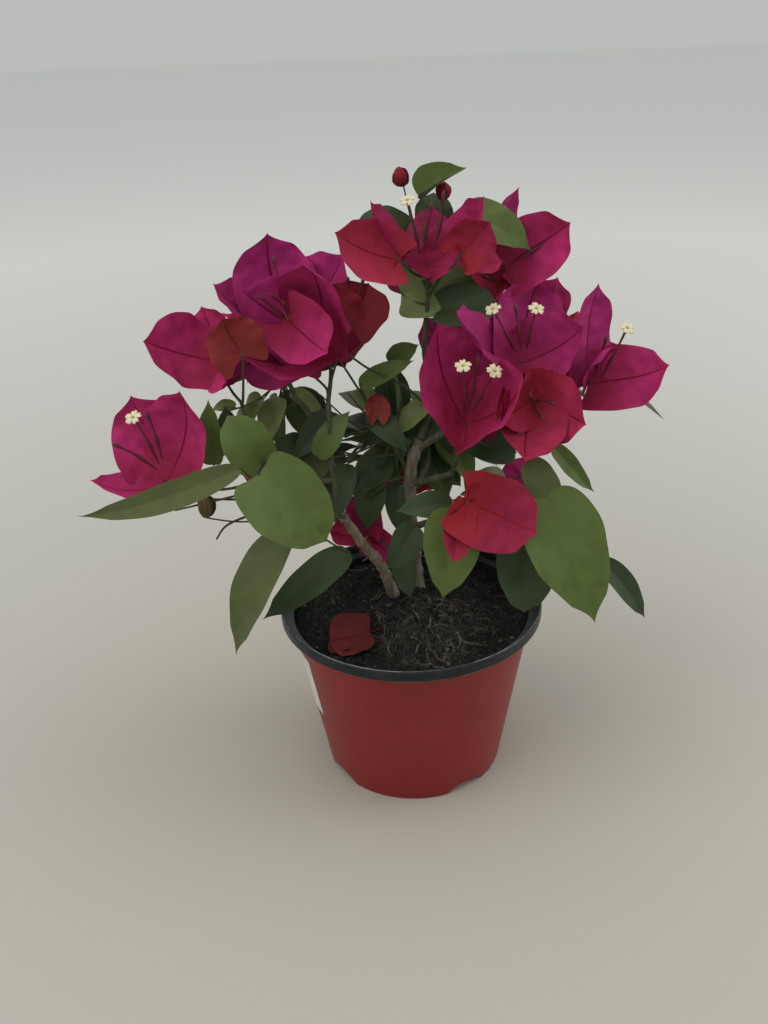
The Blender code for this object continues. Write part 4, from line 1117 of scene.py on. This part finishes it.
def in_opening(point):
    for middle, wide, high in OPENINGS:
        off = point - np.array(middle)
        up = off[2] - off[1] * SIGHT[2] / SIGHT[1]
        if (off[0] / wide) ** 2 + (up / high) ** 2 < 1:
            return True
    return False


SPRAYS_PER_SPRAY = {"middle": 4, "back": 12}
SPRAY_TINTS = (0.30, 0.08, 0.23, 0.34, 0.05)  # the share of sprays in each leaf colour, the last being the pale green of painted light
SPRAY_LEAVES = ((0.3, -55), (0.42, 60), (0.55, -50), (0.68, 55), (0.8, -45), (0.9, 50), (1.0, 0))
FEWEST_LEAVES = 2


def grow_sprays(piles, mass, roots, crowd, rng):
    """Seeded leafy twigs by the solids' rule, more of them and finer, in the same space."""
    centre, radii = np.array(mass.space)
    for _ in range(SPRAYS_PER_SPRAY[mass.group] * mass.sprays):
        root = roots[rng.integers(len(roots))]
        goal = centre + radii * unit(rng.normal(size=3)) * rng.uniform(0.4, 0.85)
        if np.linalg.norm(goal - root) < LONG_STALK:
            continue
        way = unit(goal - root)
        face = unit(0.6 * unit(goal - centre) + (0, 0, 0.9))
        level = np.cross(face, way)
        slot = 3 * int(rng.choice(len(LEAF_TINTS), p=SPRAY_TINTS))
        grown = []
        for share, turn in SPRAY_LEAVES:
            base = sagging(root, goal, share)
            onward, aside = polar(1, math.radians(turn + rng.uniform(-15, 15)))
            ahead = unit(onward * way + aside * level + (0, 0, rng.uniform(-0.6, 0.1)))
            length = rng.uniform(20, 42)
            width = length * rng.uniform(0.46, 0.62)
            start = base + rng.uniform(3, 6) * ahead
            spots = [start + part * length * ahead for part in (0.15, 0.45, 0.75, 1)]
            outside = (((spots[2] - centre) / radii) ** 2).sum() > 1
            if outside or any(in_opening(spot) for spot in spots):
                continue
            tilt = unit(face + rng.normal(0, 0.25, 3))
            points, faces, kinds, marks = blade(start, spots[3], width, tilt, LEAF_SHAPE, rng, PLAIN)
            if crowd.clear(points, faces):
                grown.append((points, faces, slot + kinds, marks, base, start, ahead))
                crowd.add(points, faces)
        if len(grown) < FEWEST_LEAVES:
            del crowd.trees[len(crowd.trees) - len(grown):]
            continue
        grow_stalk(piles["twigs"], root, goal, way, 0.75)
        for *leaf, base, start, ahead in grown:
            piles["leaves"].add(*leaf)
            grow_stalk(piles["twigs"], base, start, ahead, 0.6)


def make_foliage(rng, leaf_slots, bract_slots):
    slots = {
        "leaves": leaf_slots,
        "bracts": bract_slots,
        "twigs": [bark_material("green_twig", (0.025, 0.028, 0.010), (0.060, 0.066, 0.024), 600)],
        "flowers": [new_material("flower_tube", (0.085, 0.008, 0.016), 0.6),
                    new_material("flower_star", (0.62, 0.55, 0.36), 0.55),
                    new_material("flower_throat", (0.33, 0.30, 0.09), 0.6)],
    }
    finishes = {"leaves": "leaves", "bracts": "blooms", "twigs": "bark", "flowers": "blooms"}
    crowd = Crowd()
    groups = {mass.group: {} for mass in MASSES.values()}
    for piles in groups.values():
        piles.update({kind: Pile(*materials) for kind, materials in slots.items()})
    roots = {name: grow_named(groups[mass.group], mass, crowd, rng) for name, mass in MASSES.items()}
    for name, mass in MASSES.items():
        if mass.space:
            grow_sprays(groups[mass.group], mass, roots[name], crowd, rng)
    for group, piles in groups.items():
        nodes = [name for name, mass in MASSES.items() if mass.group == group]
        for kind, pile in piles.items():
            pile.piece(f"{group}_{kind}", finishes[kind], nodes if kind in ("leaves", "bracts") else ())


# Stage, light and camera

CAMERA_PLACE = (-0.0142, -0.5473, 0.4364)
CAMERA_DOWN = 24.236
CAMERA_ROLL = -2.148
SENSOR = 36
FOCAL_PIXELS = 1050
PICTURE = (768, 1024)
AXIS_PIXEL = (382.5, 474)


def make_camera():
    down, roll = math.radians(CAMERA_DOWN), math.radians(CAMERA_ROLL)
    ahead = Vector((0, math.cos(down), -math.sin(down)))
    right = Vector((1, 0, 0))
    below = ahead.cross(right)
    across = math.cos(roll) * right - math.sin(roll) * below
    above = -(math.sin(roll) * right + math.cos(roll) * below)
    camera = new_object("camera", bpy.data.cameras.new("camera"))
    turned = Matrix((across, above, -ahead)).transposed().to_4x4()
    camera.matrix_world = Matrix.Translation(CAMERA_PLACE) @ turned
    camera.data.sensor_width = SENSOR
    camera.data.lens = SENSOR * FOCAL_PIXELS / PICTURE[1]
    camera.data.shift_x = (PICTURE[0] / 2 - AXIS_PIXEL[0]) / PICTURE[1]
    camera.data.shift_y = (AXIS_PIXEL[1] - PICTURE[1] / 2) / PICTURE[1]
    camera.data.clip_start = 0.01
    bpy.context.scene.camera = camera


# Name, place, the point of the axis that it looks at, size, power and colour
LIGHTS = [("window", (-1.3, -0.7, 1.5), (0, 0, 0.15), 1.8, 13, (1.0, 0.98, 0.95)),
          ("lamp", (1.5, 0.1, 0.7), (0, 0, 0.05), 1.0, 8, (1, 1, 1)),
          ("ceiling", (0.0, -0.2, 2.2), (0, 0, 0), 2.2, 12, (1, 1, 1))]


def make_lights():
    for name, place, aim, size, power, colour in LIGHTS:
        light = bpy.data.lights.new(name, "AREA")
        light.size = size
        light.energy = power
        light.color = colour
        obj = new_object(name, light)
        obj.location = place
        obj.rotation_euler = (Vector(aim) - Vector(place)).to_track_quat("-Z", "Y").to_euler()


FLOOR_REACH = 9
FLOOR_FADE = 1.6  # how far out the floor reaches its last colour
# The floor is darker round the pot as painted shade, and lighter outward
FLOOR_COLOURS = [(0.0, (0.385, 0.355, 0.300)), (0.3, (0.45, 0.44, 0.40)), (1.0, (0.66, 0.665, 0.63))]
WORLD_COLOURS = [(0.0, (0.68, 0.70, 0.69)), (0.3, (0.97, 1.0, 1.0))]
WORLD_STRENGTH = 0.72


def make_stage():
    """A pale floor that lightens outward, in a pale world."""
    pale = new_material("pale_floor", (0.48, 0.45, 0.40), 0.8, 0.2)
    tree = pale.node_tree
    away = add_node(tree, "VectorMath")
    away.operation = "LENGTH"
    plug(tree, away.inputs[0], add_node(tree, "TexCoord").outputs["Object"])
    dress(pale, ramp_node(tree, math_node(tree, "DIVIDE", away.outputs["Value"], FLOOR_FADE), *FLOOR_COLOURS))
    corners = [(FLOOR_REACH * x, FLOOR_REACH * y, 0) for x, y in ((-1, -1), (1, -1), (1, 1), (-1, 1))]
    mesh = bpy.data.meshes.new("floor")
    mesh.from_pydata(corners, [], [(0, 1, 2, 3)])
    mesh.materials.append(pale)
    new_object("floor", mesh)
    world = bpy.data.worlds.new("world")
    world.use_nodes = True
    tree = world.node_tree
    parts = add_node(tree, "SeparateXYZ", Vector=add_node(tree, "TexCoord").outputs["Generated"])
    background = tree.nodes["Background"]
    plug(tree, background.inputs["Color"], ramp_node(tree, parts.outputs["Z"], *WORLD_COLOURS))
    plug(tree, background.inputs["Strength"], WORLD_STRENGTH)
    bpy.context.scene.world = world
    bpy.context.scene.view_settings.view_transform = "Standard"


def main():
    rng = np.random.default_rng(SEED)
    make_camera()
    make_stage()
    make_lights()
    leaf_slots, bract_slots = leaf_materials(), bract_materials()
    make_pot()
    make_label()
    make_soil(rng)
    make_fallen_bract(rng, bract_slots)
    make_limbs(rng)
    make_foliage(rng, leaf_slots, bract_slots)
    for material in [m for m in bpy.data.materials if m.users == 0]:
        bpy.data.materials.remove(material)


main()
